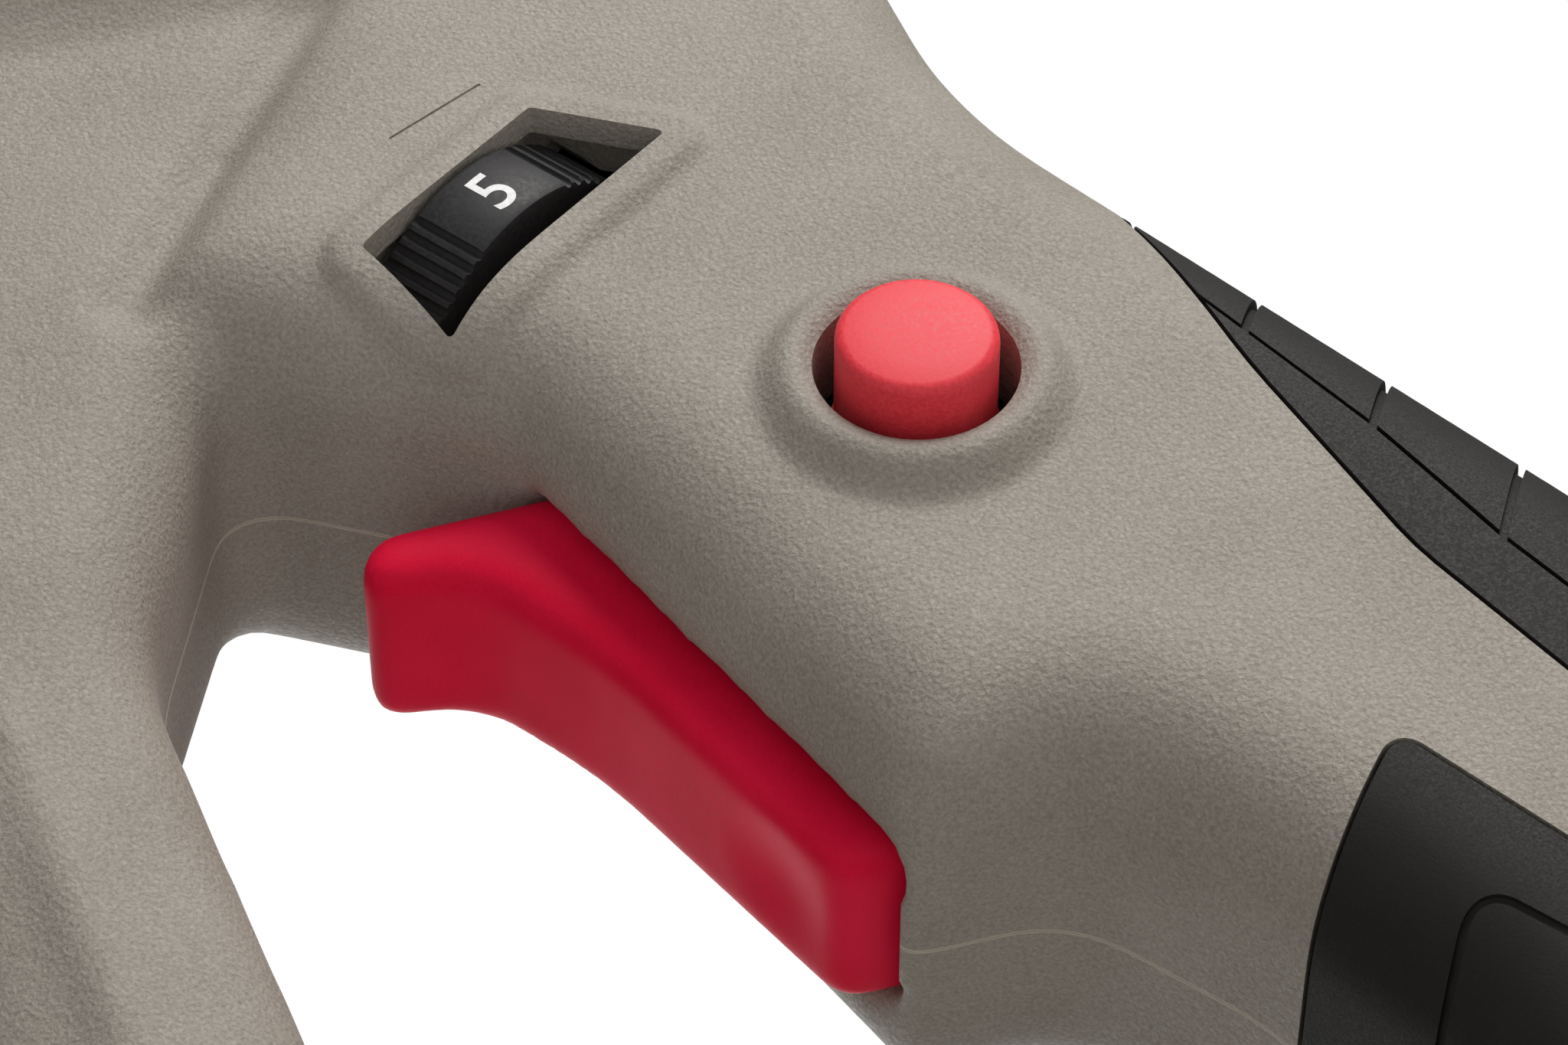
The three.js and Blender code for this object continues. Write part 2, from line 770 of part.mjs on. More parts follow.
// ---------------------------------------------------------------- power button
const switchTop = 8.6;
const switchHeight = 5.2;
const buttonTravel = 2.5;
const buttonFoot = switchTop + gap + buttonTravel;
const switchFront = buttonAt[0] + 4.2;

piece('power_button', turned([
  [0, buttonFoot],
  [1.6, buttonFoot],
  [1.6, buttonFoot + 1],
  [buttonRadius + 1, buttonFoot + 1],
  [buttonRadius + 1, buttonFoot + 2.4],
  [buttonRadius, buttonFoot + 2.4],
  [buttonRadius, buttonTop - 0.5],
  [buttonRadius - 0.5, buttonTop],
  [0, buttonTop],
], [buttonAt[0], 0, buttonAt[1]], [0, 1, 0], 24), 'red');
piece('button_spring', spring([buttonAt[0], switchTop + gap / 2, buttonAt[1]], [0, 1, 0],
  buttonTravel + 1 - gap / 2, 3.2, 0.3, 4), 'steel');
piece('switch_body', join(
  solid(block(buttonAt[0] - 4, switchFront, switchTop - switchHeight, switchTop - 0.6,
    buttonAt[1] - 4.2, buttonAt[1] + 4.2)),
  solid(rod(1.5, [buttonAt[0], switchTop - 1, buttonAt[1]], [0, 1, 0], 1, 10)),
), 'black');

// ---------------------------------------------------------------- trigger, its spring and the rocker
const armLow = rockerFoot - 1.6;
const armHigh = rockerFoot + 0.8;
const triggerOutline = filleted([
  [12, triggerTop],
  [34.6, triggerTop - 0.4, 2.4],
  [37.2, triggerTop - 4.4, 2],
  [29.8, 136.6, 6],
  [24.4, 128.8, 30],
  [15.6, triggerBottom, 2.4],
  [7, triggerBottom],
  [12, 124],
]);

function trigger() {
  const body = solid(slab(triggerOutline, -triggerHalf, triggerHalf, 1.5));
  const arm = solid(block(rockerPivot[0] + leverTip + slideGap, 18, -3, 3, armLow, armHigh));
  const seat = solid(rod(2, [10, 0, 116], [-1, 0, 0], 4, 12));
  const relief = solid(block(0, switchFront + triggerTravel + slideGap,
    switchTop - switchHeight - slideGap, farSide, buttonAt[1] - 4.2 - slideGap, buttonAt[1] + 4.2 + slideGap));
  return cut(join(body, arm, seat), relief);
}

piece('trigger', trigger(), 'red');
piece('trigger_spring', spring([8, 0, 116], [-1, 0, 0], 14, 3.4, 0.45, 5), 'steel');

function rocker() {
  const [x, z] = rockerPivot;
  const shape = filleted([
    [x - leverTip, rockerFoot - leverTip, leverTip * 0.98],
    [x + leverTip, rockerFoot - leverTip, leverTip * 0.98],
    [x + leverTip, z - 12],
    [x + 5, z - 3, 3],
    [x + 5, z + 3, 3],
    [x + leverTip, z + 12],
    [x + leverTip, rockerTop + leverTip, leverTip * 0.98],
    [x - leverTip, rockerTop + leverTip, leverTip * 0.98],
    [x - leverTip, z + 12],
    [x - 5, z + 3, 3],
    [x - 5, z - 3, 3],
    [x - leverTip, z - 12],
  ].reverse());
  return cut(
    solid(slab(shape, -rockerHalf, rockerHalf)),
    solid(rod(rockerPinRadius + gap, [x, -10, z], [0, 1, 0], 20, 20)),
  );
}

piece('feed_rocker', rocker(), 'steel');
piece('rocker_pin', rod(rockerPinRadius, [rockerPivot[0], -rockerPinReach, rockerPivot[1]], [0, 1, 0],
  2 * rockerPinReach, 20), 'steel');

// ---------------------------------------------------------------- carriage that feeds the glue stick
function carriage() {
  const body = solid(block(carriageBack, carriageBack + carriageLength, -carriageHalf, carriageHalf,
    barrelZ - carriageHalf, barrelZ + carriageHalf));
  const ears = solid(block(rockerPivot[0] - 5, rockerPivot[0] + 5, -5, 5,
    rockerTop - 0.5, barrelZ - carriageHalf + 1));
  const tip = leverTip + gap;
  const pocket = solid(block(rockerPivot[0] - tip, rockerPivot[0] + tip,
    -rockerHalf - slideGap, rockerHalf + slideGap, rockerTop - 5, rockerTop + leverTip + slideGap));
  return cut(join(body, ears), pocket, solid(rod(carriageHoleRadius, alongX(carriageBack - 5), [1, 0, 0], farSide, 18)));
}

piece('feed_carriage', carriage(), 'nylon');

piece('clamp_jaw', cut(
  solid(block(carriageBack - gap - jawThickness, carriageBack - gap, -9, 9, barrelZ - 10, barrelZ + 10)),
  solid(rod(carriageHoleRadius, alongX(carriageBack - 5), [1, 0, 0], 10)),
), 'steel');

// ---------------------------------------------------------------- glue stick and its guides
piece('glue_stick', turned([
  [0, stickBack],
  [stickRadius - 0.4, stickBack],
  [stickRadius, stickBack + 0.4],
  [stickRadius, stickFront - 0.4],
  [stickRadius - 0.4, stickFront],
  [0, stickFront],
], alongX(0), [1, 0, 0]), 'glue');

const guideGroove = guideRibX - gap;
const grooveLength = ribThickness + 2 * gap;
piece('stick_guide', turned([
  [bore + 1.5, guideBack],
  [guideRadius, guideBack],
  [guideRadius, guideGroove],
  [guideRadius - 2, guideGroove],
  [guideRadius - 2, guideGroove + grooveLength],
  [guideRadius, guideGroove + grooveLength],
  [guideRadius, guideBack + guideLength],
  [bore, guideBack + guideLength],
  [bore, guideBack + 2],
  [bore + 1.5, guideBack],
], alongX(0), [1, 0, 0]), 'black');

const sleeveGroove = sleeveRibX - gap;
piece('inlet_sleeve', turned([
  [bore, sleeveBack],
  [sleeveRadius, sleeveBack],
  [sleeveRadius, sleeveGroove],
  [sleeveRadius - 2, sleeveGroove],
  [sleeveRadius - 2, sleeveGroove + grooveLength],
  [sleeveRadius, sleeveGroove + grooveLength],
  [sleeveRadius, sleeveBack + sleeveLength],
  [bore, sleeveBack + sleeveLength],
  [bore, sleeveBack],
], alongX(0), [1, 0, 0]), 'silicone');

// ---------------------------------------------------------------- melt chamber and heater
const padDrop = chamberRadius + 1;                      // from the axis down to the heater's seat
const padHalf = 7;
const heaterBack = chamberBack + 8;
const heaterFront = chamberFront - 6;
const heaterThickness = 2.5;
const shankRadius = 6;
const shankLength = 7;

function chamber() {
  const body = join(
    solid(turned([
      [0, chamberBack],
      [chamberRadius, chamberBack],
      [chamberRadius, chamberFront],
      [0, chamberFront],
    ], alongX(0), [1, 0, 0])),
    solid(block(heaterBack - 1, heaterFront + 1, -padHalf, padHalf, barrelZ - padDrop, barrelZ - 8)),
  );
  const hole = solid(turned([
    [0, chamberBack - 1],
    [bore, chamberBack - 1],
    [bore, chamberFront - 14],
    [2.2, chamberFront - 9],
    [2.2, chamberFront - shankLength - gap],
    [shankRadius + gap, chamberFront - shankLength - gap],
    [shankRadius + gap, chamberFront + 1],
    [0, chamberFront + 1],
  ], alongX(0), [1, 0, 0], 24));
  return cut(body, hole);
}

piece('melt_chamber', chamber(), 'aluminium');

const heaterTop = barrelZ - padDrop - gap;
piece('heater_element', block(heaterBack, heaterFront, -padHalf + 1, padHalf - 1,
  heaterTop - heaterThickness, heaterTop), 'ceramic');

// A bent spring plate hugs the chamber's sides and holds the heater against its seat.
function heaterClip() {
  const under = barrelZ - padDrop - gap - heaterThickness - gap;
  const thick = 0.9;
  const side = chamberRadius + gap;
  const shape = new THREE.Shape([
    [-side - thick, barrelZ + 2],
    [-side - thick, barrelZ - 9],
    [-padHalf, under - thick],
    [padHalf, under - thick],
    [side + thick, barrelZ - 9],
    [side + thick, barrelZ + 2],
    [side, barrelZ + 2],
    [side, barrelZ - 8.6],
    [padHalf + gap, under],
    [-padHalf - gap, under],
    [-side, barrelZ - 8.6],
    [-side, barrelZ + 2],
  ].map(([y, z]) => new THREE.Vector2(y, z)));
  const geometry = new THREE.ExtrudeGeometry(shape, { depth: 12, bevelEnabled: false });
  geometry.applyMatrix4(new THREE.Matrix4().makeBasis(
    new THREE.Vector3(0, 1, 0),
    new THREE.Vector3(0, 0, 1),
    new THREE.Vector3(1, 0, 0),
  ));
  geometry.translate((heaterBack + heaterFront) / 2 - 6, 0, 0);
  return geometry;
}

piece('heater_clip', heaterClip(), 'steel');

const sensorRadius = 1.5;
piece('temperature_sensor', rod(sensorRadius,
  [chamberBack + 18, 0, barrelZ + chamberRadius + gap + sensorRadius], [1, 0, 0], 9, 14), 'ceramic');

const shieldBack = chamberRibX + ribThickness + gap;
piece('heat_shield', ring(shieldRadius - 0.7, shieldRadius, alongX(shieldBack), [1, 0, 0],
  barrelFront - 10 - shieldBack, 24), 'steel');

// ---------------------------------------------------------------- nozzle end
const nozzleBack = chamberFront + gap;
const collarRim = barrelFront + gap;
const collarFront = collarRim + 8;
const collarBore = 10.5;

piece('front_collar', turned([
  [collarBore, nozzleBack + 0.7],
  [frontCollarRadius, nozzleBack + 0.7],
  [frontCollarRadius, collarRim],
  [barrelNose - 1, collarRim],
  [barrelNose - 1.6, collarFront - 3],
  [barrelNose - 5, collarFront - 0.8],
  [collarBore + 1.5, collarFront],
  [collarBore, collarFront],
  [collarBore, nozzleBack + 0.7],
], alongX(0), [1, 0, 0], 24), 'black');

const coneBack = collarFront + 7;
const coneFront = nozzleBack + nozzleLength;
const coneRadius = 8.3;
const coneAt = (x) => THREE.MathUtils.mapLinear(x, coneBack, coneFront, coneRadius, nozzleTip);

function nozzle() {
  const body = solid(turned([
    [2, nozzleBack - shankLength],
    [shankRadius, nozzleBack - shankLength],
    [shankRadius, nozzleBack],
    [collarBore - 1, nozzleBack],
    [collarBore - 1, nozzleBack + 2.6],
    [coneRadius - 0.6, nozzleBack + 3.2],
    [coneRadius - 0.6, collarFront + 1],
    [coneRadius, collarFront + 1],
    [coneRadius, coneBack],
    [nozzleTip, coneFront],
    [1, coneFront],
    [1, coneFront - 8],
    [2, coneFront - 14],
    [2, nozzleBack - shankLength],
  ], alongX(0), [1, 0, 0], 18));
  const hex = cut(
    solid(rod(collarBore - 0.6, alongX(collarFront + 0.8), [1, 0, 0], 5.6, 6)),
    solid(rod(coneRadius - 2, alongX(collarFront - 1), [1, 0, 0], 12, 12)),
  );
  return join(body, hex);
}

piece('nozzle', nozzle(), 'brass');

const bootBack = coneBack + 0.6;
const bootFront = coneFront - 5;
const bootWall = 1.7;
piece('nozzle_boot', turned([
  [coneAt(bootBack) + gap, bootBack],
  [coneAt(bootBack) + gap + bootWall + 0.5, bootBack],
  [coneAt(bootBack + 3) + gap + bootWall + 0.5, bootBack + 3],
  [coneAt(bootBack + 3.6) + gap + bootWall, bootBack + 3.6],
  [coneAt(bootFront) + gap + bootWall, bootFront],
  [coneAt(bootFront) + gap, bootFront],
  [coneAt(bootBack) + gap, bootBack],
], alongX(0), [1, 0, 0]), 'silicone');

piece('status_lens', turned([
  [0, 21],
  [ledRadius, 21],
  [ledRadius, barrelRadius - 0.4],
  [ledRadius * 0.7, barrelRadius + 0.1],
  [0, barrelRadius + 0.3],
], [ledAt[0], 0, ledAt[1]], [0, 1, 0], 16), 'lens');

// ---------------------------------------------------------------- battery
const batteryTop = footBottom - gap;
const batteryMiddle = (batteryBack + batteryFront) / 2;
const batteryFloor = batteryWall;
const cellZ = batteryFloor + gap + cellRadius;
const batteryRoof = batteryTop - batteryWall;
const latchFrom = 22;
const latchTo = 42;
const latchLow = cellZ + cellRadius + 1.6;
const latchHigh = batteryRoof - 0.8;
const latchTravel = 2.2;
const latchInner = batteryHalf - batteryWall - latchTravel - 1.2;
const latchRest = 25.7;                  // where the latch's spring rests, from the middle
const bladePitch = 8;
const bladeCount = 3;
const bladeY = (i) => (i - (bladeCount - 1) / 2) * bladePitch;
const batteryScrews = [
  { name: 'back_left', x: batteryBack + 7.4, y: 20 },
  { name: 'back_right', x: batteryBack + 7.4, y: -20 },
  { name: 'front_left', x: batteryFront - 7.4, y: 20 },
  { name: 'front_right', x: batteryFront - 7.4, y: -20 },
];
const batteryScrewRadius = 1.4;
const batteryScrewHead = 2.6;
const batteryHeadSeat = 3;

function batteryShell() {
  const outer = solid(tile(rectangle(batteryBack, batteryFront, batteryHalf, footCorner), 0, batteryTop, 3));
  const hollow = solid(tile(
    rectangle(batteryBack + batteryWall, batteryFront - batteryWall, batteryHalf - batteryWall,
      footCorner - batteryWall),
    batteryFloor, batteryRoof, 1.5));
  const posts = join(...batteryScrews.map(({ x, y }) => (
    solid(rod(batteryScrewHead + gap + 0.9, [x, y, 0.5], [0, 0, 1], batteryTop - 1, 14)))));
  const latchWalls = join(...[1, -1].map((side) => solid(block(
    latchFrom, latchTo, ...(side > 0 ? [latchRest - 2 - gap, latchRest - gap] : [gap - latchRest, latchRest * -1 + 2 + gap]),
    latchLow, batteryTop - 1))));
  const rail = join(
    solid(block(channelBack, batteryFront - 1.5, -railNeck, railNeck, batteryTop - 1, railTop)),
    solid(block(channelBack, batteryFront - 1.5, -railHalf, railHalf, footBottom + railLip + gap, railTop)),
  );
  const slots = [];
  for (let i = 0; i < bladeCount; i += 1) {
    slots.push(solid(block(channelBack - 1, terminalBack + terminalLength + 1, bladeY(i) - 1.2, bladeY(i) + 1.2,
      footBottom + railLip - 0.2, railTop + 1)));
  }
  const windows = solid(block(latchFrom - gap, latchTo + gap, -farSide, farSide, latchLow + 0.7 - gap,
    latchHigh - 0.7 + gap)).subtract(solid(block(latchFrom - 1, latchTo + 1, -latchRest - 1, latchRest + 1, 0, farSide)));
  const holes = join(...batteryScrews.flatMap(({ x, y }) => [
    solid(rod(batteryScrewRadius + gap, [x, y, -1], [0, 0, 1], 28, 12)),
    solid(rod(batteryScrewHead + gap, [x, y, -1], [0, 0, 1], batteryHeadSeat + 1, 14)),
  ]));
  const body = join(cut(outer, cut(hollow, posts, latchWalls)), rail);
  return cut(body, ...slots, windows, holes);
}

const batteryBody = batteryShell();
const splitBox = (low, high) => solid(block(-150, 250, -100, 100, low, high));
piece('battery_case_upper', batteryBody.intersect(splitBox(batterySplit + gap / 2, 100)), 'black');
piece('battery_case_lower', batteryBody.intersect(splitBox(-10, batterySplit - gap / 2)), 'black');

for (let i = 0; i < cellCount; i += 1) {
  const x = batteryMiddle + (i - (cellCount - 1) / 2) * cellPitch;
  piece(`cell_${i + 1}`, turned([
    [0, -cellLength / 2],
    [cellRadius, -cellLength / 2],
    [cellRadius, cellLength / 2 - 1],
    [3, cellLength / 2 - 1],
    [3, cellLength / 2],
    [0, cellLength / 2],
  ], [x, 0, cellZ], [0, 1, 0], 14), 'cell');
}

const boardZ = cellZ + cellRadius + 1;
piece('battery_board', join(
  solid(block(batteryMiddle - 30, batteryMiddle + 14, -18, 18, boardZ, boardZ + 1.4)),
  solid(block(batteryMiddle - 20, batteryMiddle - 12, -6, 2, boardZ + 1, boardZ + 3)),
  solid(block(batteryMiddle - 2, batteryMiddle + 6, -10, -4, boardZ + 1, boardZ + 2.6)),
), 'board');

for (const { name, x, y } of batteryScrews) {
  const shape = solid(turned([
    [0, 0],
    [batteryScrewHead, 0],
    [batteryScrewHead, 1.8],
    [batteryScrewRadius, 1.8],
    [batteryScrewRadius, 25],
    [0, 25],
  ], [x, y, batteryHeadSeat - gap - 1.8], [0, 0, 1], 8));
  const socket = solid(rod(1.2, [x, y, 0], [0, 0, 1], batteryHeadSeat - gap - 0.6, 6));
  piece(`battery_screw_${name}`, cut(shape, socket), 'steel');
}

for (const side of [1, -1]) {
  const name = side > 0 ? 'left' : 'right';
  const span = (inner, outer) => (side > 0 ? [inner, outer] : [-outer, -inner]);
  const ridges = [0, 1, 2].map((i) => (
    solid(block(latchFrom + 5 + i * 4, latchFrom + 6.4 + i * 4, ...span(batteryHalf, batteryHalf + 1.1),
      latchLow + 1.6, latchHigh - 1.6))));
  piece(`latch_${name}`, join(
    solid(block(latchFrom, latchTo, ...span(latchInner, batteryHalf + 0.5), latchLow + 0.7, latchHigh - 0.7)),
    solid(block(latchFrom - 1.6, latchTo + 1.6, ...span(latchInner, batteryHalf - batteryWall - gap),
      latchLow, latchHigh - 1.2)),
    ...ridges,
  ), 'red');
  piece(`latch_spring_${name}`, spring(
    [(latchFrom + latchTo) / 2, side * latchRest, (latchLow + latchHigh) / 2], [0, side, 0],
    latchInner - gap - latchRest, 2.4, 0.3, 4), 'steel');
}

// ---------------------------------------------------------------- battery terminals in the foot
function terminals() {
  const blades = [];
  for (let i = 0; i < bladeCount; i += 1) {
    blades.push(solid(block(terminalBack + 1, terminalBack + terminalLength - 3, bladeY(i) - 0.4, bladeY(i) + 0.4,
      footBottom + railLip + 0.4, railTop + gap + 1)));
  }
  const body = solid(block(terminalBack, terminalBack + terminalLength, -terminalHalf, terminalHalf,
    railTop + 2 * gap, terminalTop - gap));
  return join(body, ...blades);
}

piece('terminal_block', terminals(), 'black');

export default gun;
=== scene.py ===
import math

import bmesh
import bpy
from mathutils import Matrix, Vector
from mathutils.geometry import intersect_point_line


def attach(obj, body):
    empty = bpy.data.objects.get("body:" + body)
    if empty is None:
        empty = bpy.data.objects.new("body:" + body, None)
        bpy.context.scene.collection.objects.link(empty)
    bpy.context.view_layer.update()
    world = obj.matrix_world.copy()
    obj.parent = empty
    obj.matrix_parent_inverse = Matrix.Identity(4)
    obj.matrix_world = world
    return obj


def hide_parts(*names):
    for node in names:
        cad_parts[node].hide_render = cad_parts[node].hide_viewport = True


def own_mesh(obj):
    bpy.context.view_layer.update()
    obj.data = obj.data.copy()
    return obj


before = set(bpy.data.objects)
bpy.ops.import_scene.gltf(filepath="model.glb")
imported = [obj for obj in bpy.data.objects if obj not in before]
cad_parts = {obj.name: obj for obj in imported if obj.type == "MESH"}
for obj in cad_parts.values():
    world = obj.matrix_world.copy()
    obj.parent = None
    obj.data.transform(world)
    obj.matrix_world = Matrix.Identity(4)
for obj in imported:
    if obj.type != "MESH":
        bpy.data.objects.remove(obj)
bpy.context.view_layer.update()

# The bench: a pale floor under the tool, a white room and three soft lamps, the strongest at its left.
# The camera stands low beside the left side and looks up at the grip. The floor is clear from below.
camera_data = bpy.data.cameras.new("camera")
camera_data.sensor_width = 36
camera_data.lens = 117.4
camera_data.clip_start = 0.01
camera = bpy.data.objects.new("camera", camera_data)
bpy.context.collection.objects.link(camera)
bpy.context.scene.camera = camera
camera_right = Vector((-0.9563, 0, -0.2924))
camera_up = Vector((-0.2103, 0.6947, 0.6879))
camera_back = Vector((0.2031, 0.7193, -0.6643))
camera.matrix_world = Matrix.Translation((0.07324, 0.22761, -0.06915)) @ Matrix(
    (camera_right, camera_up, camera_back)).transposed().to_4x4()


def lamp(name, place, target, size, watts, colour):
    """A square soft box that faces a target."""
    data = bpy.data.lights.new(name, "AREA")
    data.shape = "SQUARE"
    data.size = size
    data.energy = watts
    data.color = colour
    box = bpy.data.objects.new(name, data)
    box.location = place
    box.rotation_euler = (Vector(place) - Vector(target)).to_track_quat("Z", "Y").to_euler()
    bpy.context.collection.objects.link(box)


grip_centre = (0.01, 0.0, 0.14)
lamp("key_lamp", (-0.22, 0.42, 0.52), grip_centre, 0.3, 3.6, (1, 0.99, 0.97))
lamp("fill_lamp", (0.65, 0.35, 0.1), grip_centre, 0.5, 0.35, (0.96, 0.98, 1))
lamp("far_lamp", (0.1, -0.6, 0.45), grip_centre, 0.6, 2.5, (1, 1, 1))

world = bpy.data.worlds.new("white_room")
world.use_nodes = True
bpy.context.scene.world = world
room = world.node_tree
room_light = room.nodes["Background"]
room_light.inputs["Color"].default_value = (1, 1, 1, 1)
room_light.inputs["Strength"].default_value = 0.2
room_white = room.nodes.new("ShaderNodeBackground")
room_white.inputs["Color"].default_value = (1, 1, 1, 1)
room_path = room.nodes.new("ShaderNodeLightPath")
room_mix = room.nodes.new("ShaderNodeMixShader")
room.links.new(room_path.outputs["Is Camera Ray"], room_mix.inputs[0])
room.links.new(room_light.outputs[0], room_mix.inputs[1])
room.links.new(room_white.outputs[0], room_mix.inputs[2])
room.links.new(room_mix.outputs[0], room.nodes["World Output"].inputs["Surface"])
bpy.context.scene.view_settings.view_transform = "Standard"


class Wire:
    """A value in a material, which takes part in sums and products."""

    def __init__(self, finish, socket):
        self.finish = finish
        self.socket = socket

    def maths(self, operation, *others):
        """A Math node on this value, or on others in a set order with it."""
        values = others if others else (self,)
        return self.finish.node("ShaderNodeMath", {"operation": operation}, dict(enumerate(values)))

    def __add__(self, other):
        return self.maths("ADD", self, other)

    def __sub__(self, other):
        return self.maths("SUBTRACT", self, other)

    def __rsub__(self, other):
        return self.maths("SUBTRACT", other, self)

    def __mul__(self, other):
        return self.maths("MULTIPLY", self, other)

    __radd__ = __add__
    __rmul__ = __mul__


class Finish:
    """A material built node by node round one Principled shader. Patterns sit on the object, in metres."""

    def __init__(self, name, **constants):
        self.material = bpy.data.materials.new(name)
        self.material.use_nodes = True
        self.tree = self.material.node_tree
        self.shader = self.tree.nodes["Principled BSDF"]
        for key, value in constants.items():
            self.shader.inputs[key.replace("_", " ").title().replace("Ior", "IOR")].default_value = value
        self.place = self.node("ShaderNodeTexCoord", {}, {}, "Object")

    def node(self, kind, settings, values, out=0):
        """Adds a node, sets it up, and gives its sockets values or links."""
        node = self.tree.nodes.new(kind)
        for key, value in settings.items():
            if key != "stops":
                setattr(node, key, value)
                continue
            while len(node.color_ramp.elements) < len(value):
                node.color_ramp.elements.new(0.5)
            for element, (position, colour) in zip(node.color_ramp.elements, value):
                element.position = position
                element.color = colour
        for key, value in values.items():
            if isinstance(value, Wire):
                self.tree.links.new(value.socket, node.inputs[key])
            else:
                node.inputs[key].default_value = value
        return Wire(self, node.outputs[out])

    def noise(self, size, detail=2.0, roughness=0.5):
        """Cloudy noise whose lumps are about the given size in metres."""
        return self.node("ShaderNodeTexNoise", {}, {
            "Vector": self.place, "Scale": 1 / size, "Detail": detail, "Roughness": roughness})

    def specks(self, size, feature="F1"):
        """Round cells about the given size in metres."""
        return self.node("ShaderNodeTexVoronoi", {"feature": feature}, {
            "Vector": self.place, "Scale": 1 / size}, "Distance")

    def ramp(self, value, low, high, bottom=0.0, top=1.0):
        """A value stretched from one span to another and kept inside it."""
        return self.node("ShaderNodeMapRange", {}, {
            "Value": value, "From Min": low, "From Max": high, "To Min": bottom, "To Max": top})

    def blend(self, mask, first, second):
        """One colour where the mask is 0 and the other where it is 1."""
        return self.node("ShaderNodeMix", {"data_type": "RGBA"}, {0: mask, 6: first, 7: second}, 2)

    def feed(self, name, value):
        self.tree.links.new(value.socket, self.shader.inputs[name])

    def relief(self, height, depth, strength=1.0):
        """Raises the surface in the light by a height of 0 to 1 times a depth in metres."""
        self.feed("Normal", self.node("ShaderNodeBump", {}, {
            "Height": height, "Distance": depth, "Strength": strength}))


floor_finish = Finish("bench_top", roughness=0.6)
floor_finish.feed("Base Color", floor_finish.blend(
    floor_finish.noise(0.04), (0.80, 0.80, 0.79, 1), (0.86, 0.86, 0.85, 1)))
floor_seen = floor_finish.node("ShaderNodeLightPath", {}, {}, "Is Camera Ray")
floor_finish.shader.inputs["Emission Strength"].default_value = 0.22
floor_finish.feed("Emission Color", floor_finish.blend(floor_seen, (0, 0, 0, 1), (1, 1, 1, 1)))
floor_under = floor_finish.node("ShaderNodeNewGeometry", {}, {}, "Backfacing")
floor_clear = floor_finish.node("ShaderNodeBsdfTransparent", {}, {})
floor_surface = Wire(floor_finish, floor_finish.shader.outputs[0])
floor_either = floor_finish.node(
    "ShaderNodeMixShader", {}, {0: floor_under, 1: floor_surface, 2: floor_clear})
floor_output = floor_finish.tree.nodes["Material Output"]
floor_finish.tree.links.new(floor_either.socket, floor_output.inputs["Surface"])
floor_shape = bmesh.new()
bmesh.ops.create_grid(floor_shape, x_segments=1, y_segments=1, size=2.0)
floor_mesh = bpy.data.meshes.new("floor")
floor_shape.to_mesh(floor_mesh)
floor_mesh.materials.append(floor_finish.material)
floor = bpy.data.objects.new("floor", floor_mesh)
bpy.context.collection.objects.link(floor)

# The housing: two glass-filled nylon shells that meet on the middle plane and take the whole tool.
# They are moulded with a fine spark-eroded grain, and screwed together from the right.
MM = 0.001                     # shapes are made in millimetres and scaled to metres at the end
grip_half = 17                 # half the handle's thickness, and the radius that rounds its sides
grip_round = 9
guard_half = 14.5              # the same for the guard where it joins the barrel
guard_round = 7
guard_thin = 10                # half the guard's thickness at its foot
wall = 2.6
pad_depth = 2                  # thickness of the rubber grips
gap = 0.3                      # clearance between parts
axis_z = 206                   # height of the glue stick's axis
trigger_top = 142.2
trigger_bottom = 108.2
trigger_half = 6.7
foot_top = 58
foot_bottom = 34
stick_radius = 5.65
rocker_x, rocker_z = 6, 160

grip_corners = [
    (22, 194), (48.5, 157), (26, trigger_top + 0.6, 3), (12.4, 105.9), (2.6, 105.9, 7), (-5, 96, 10),
    (-13, 80, 30), (-13, 50), (-47, 50), (-47, 78, 20), (-39, 108.3, 45), (-9.6, 161, 30), (-7.7, 194)]
guard_corners = [
    (80, 191), (68, 150, 40), (66, 100, 60), (60, 48), (44, 48), (45, 84, 60), (50.2, 134, 14),
    (42, 151.6, 3), (22, 146), (12, 191)]
foot_corners = [(-57, -34, 16), (62, -34, 16), (62, 34, 16), (-57, 34, 16)]
barrel_front = 112
barrel_profile = [
    (0, -10), (18, -10), (20, -9.2), (23.6, -4), (25.8, 1), (27, 8), (27, 82), (26.4, 91), (25, 97),
    (22, 111.2), (21, barrel_front), (0, barrel_front)]
strap_corners = [
    (-17.4, 156), (-14.2, 147.5, 10), (-16.2, 130, 40), (-20, 113, 20), (-31, 86, 40), (-33, 70, 4),
    (-60, 70), (-60, 110), (-30, 156)]
panel_corners = [(-13.9, 100.6, 1.5), (-4, 90.5), (4, 88), (4, 70), (-25.5, 70, 4), (-25, 82, 14)]


def rounded_face(corners, turn_step=0.12):
    """A flat face in X and Y whose corners (x, y, radius) are rounded."""
    bm = bmesh.new()
    loop = [bm.verts.new((x, y, 0)) for x, y, *_ in corners]
    bm.faces.new(loop)
    for vert, (_, _, *radius) in zip(loop, corners):
        if radius:
            first, second = [(edge.other_vert(vert).co - vert.co) for edge in vert.link_edges]
            half = first.angle(second) / 2
            bmesh.ops.bevel(
                bm, geom=[vert], offset=radius[0] / math.tan(half), offset_type="OFFSET",
                segments=max(2, round((math.pi - 2 * half) / turn_step)), profile=0.5, affect="VERTICES",
                material=-1)
    return bm


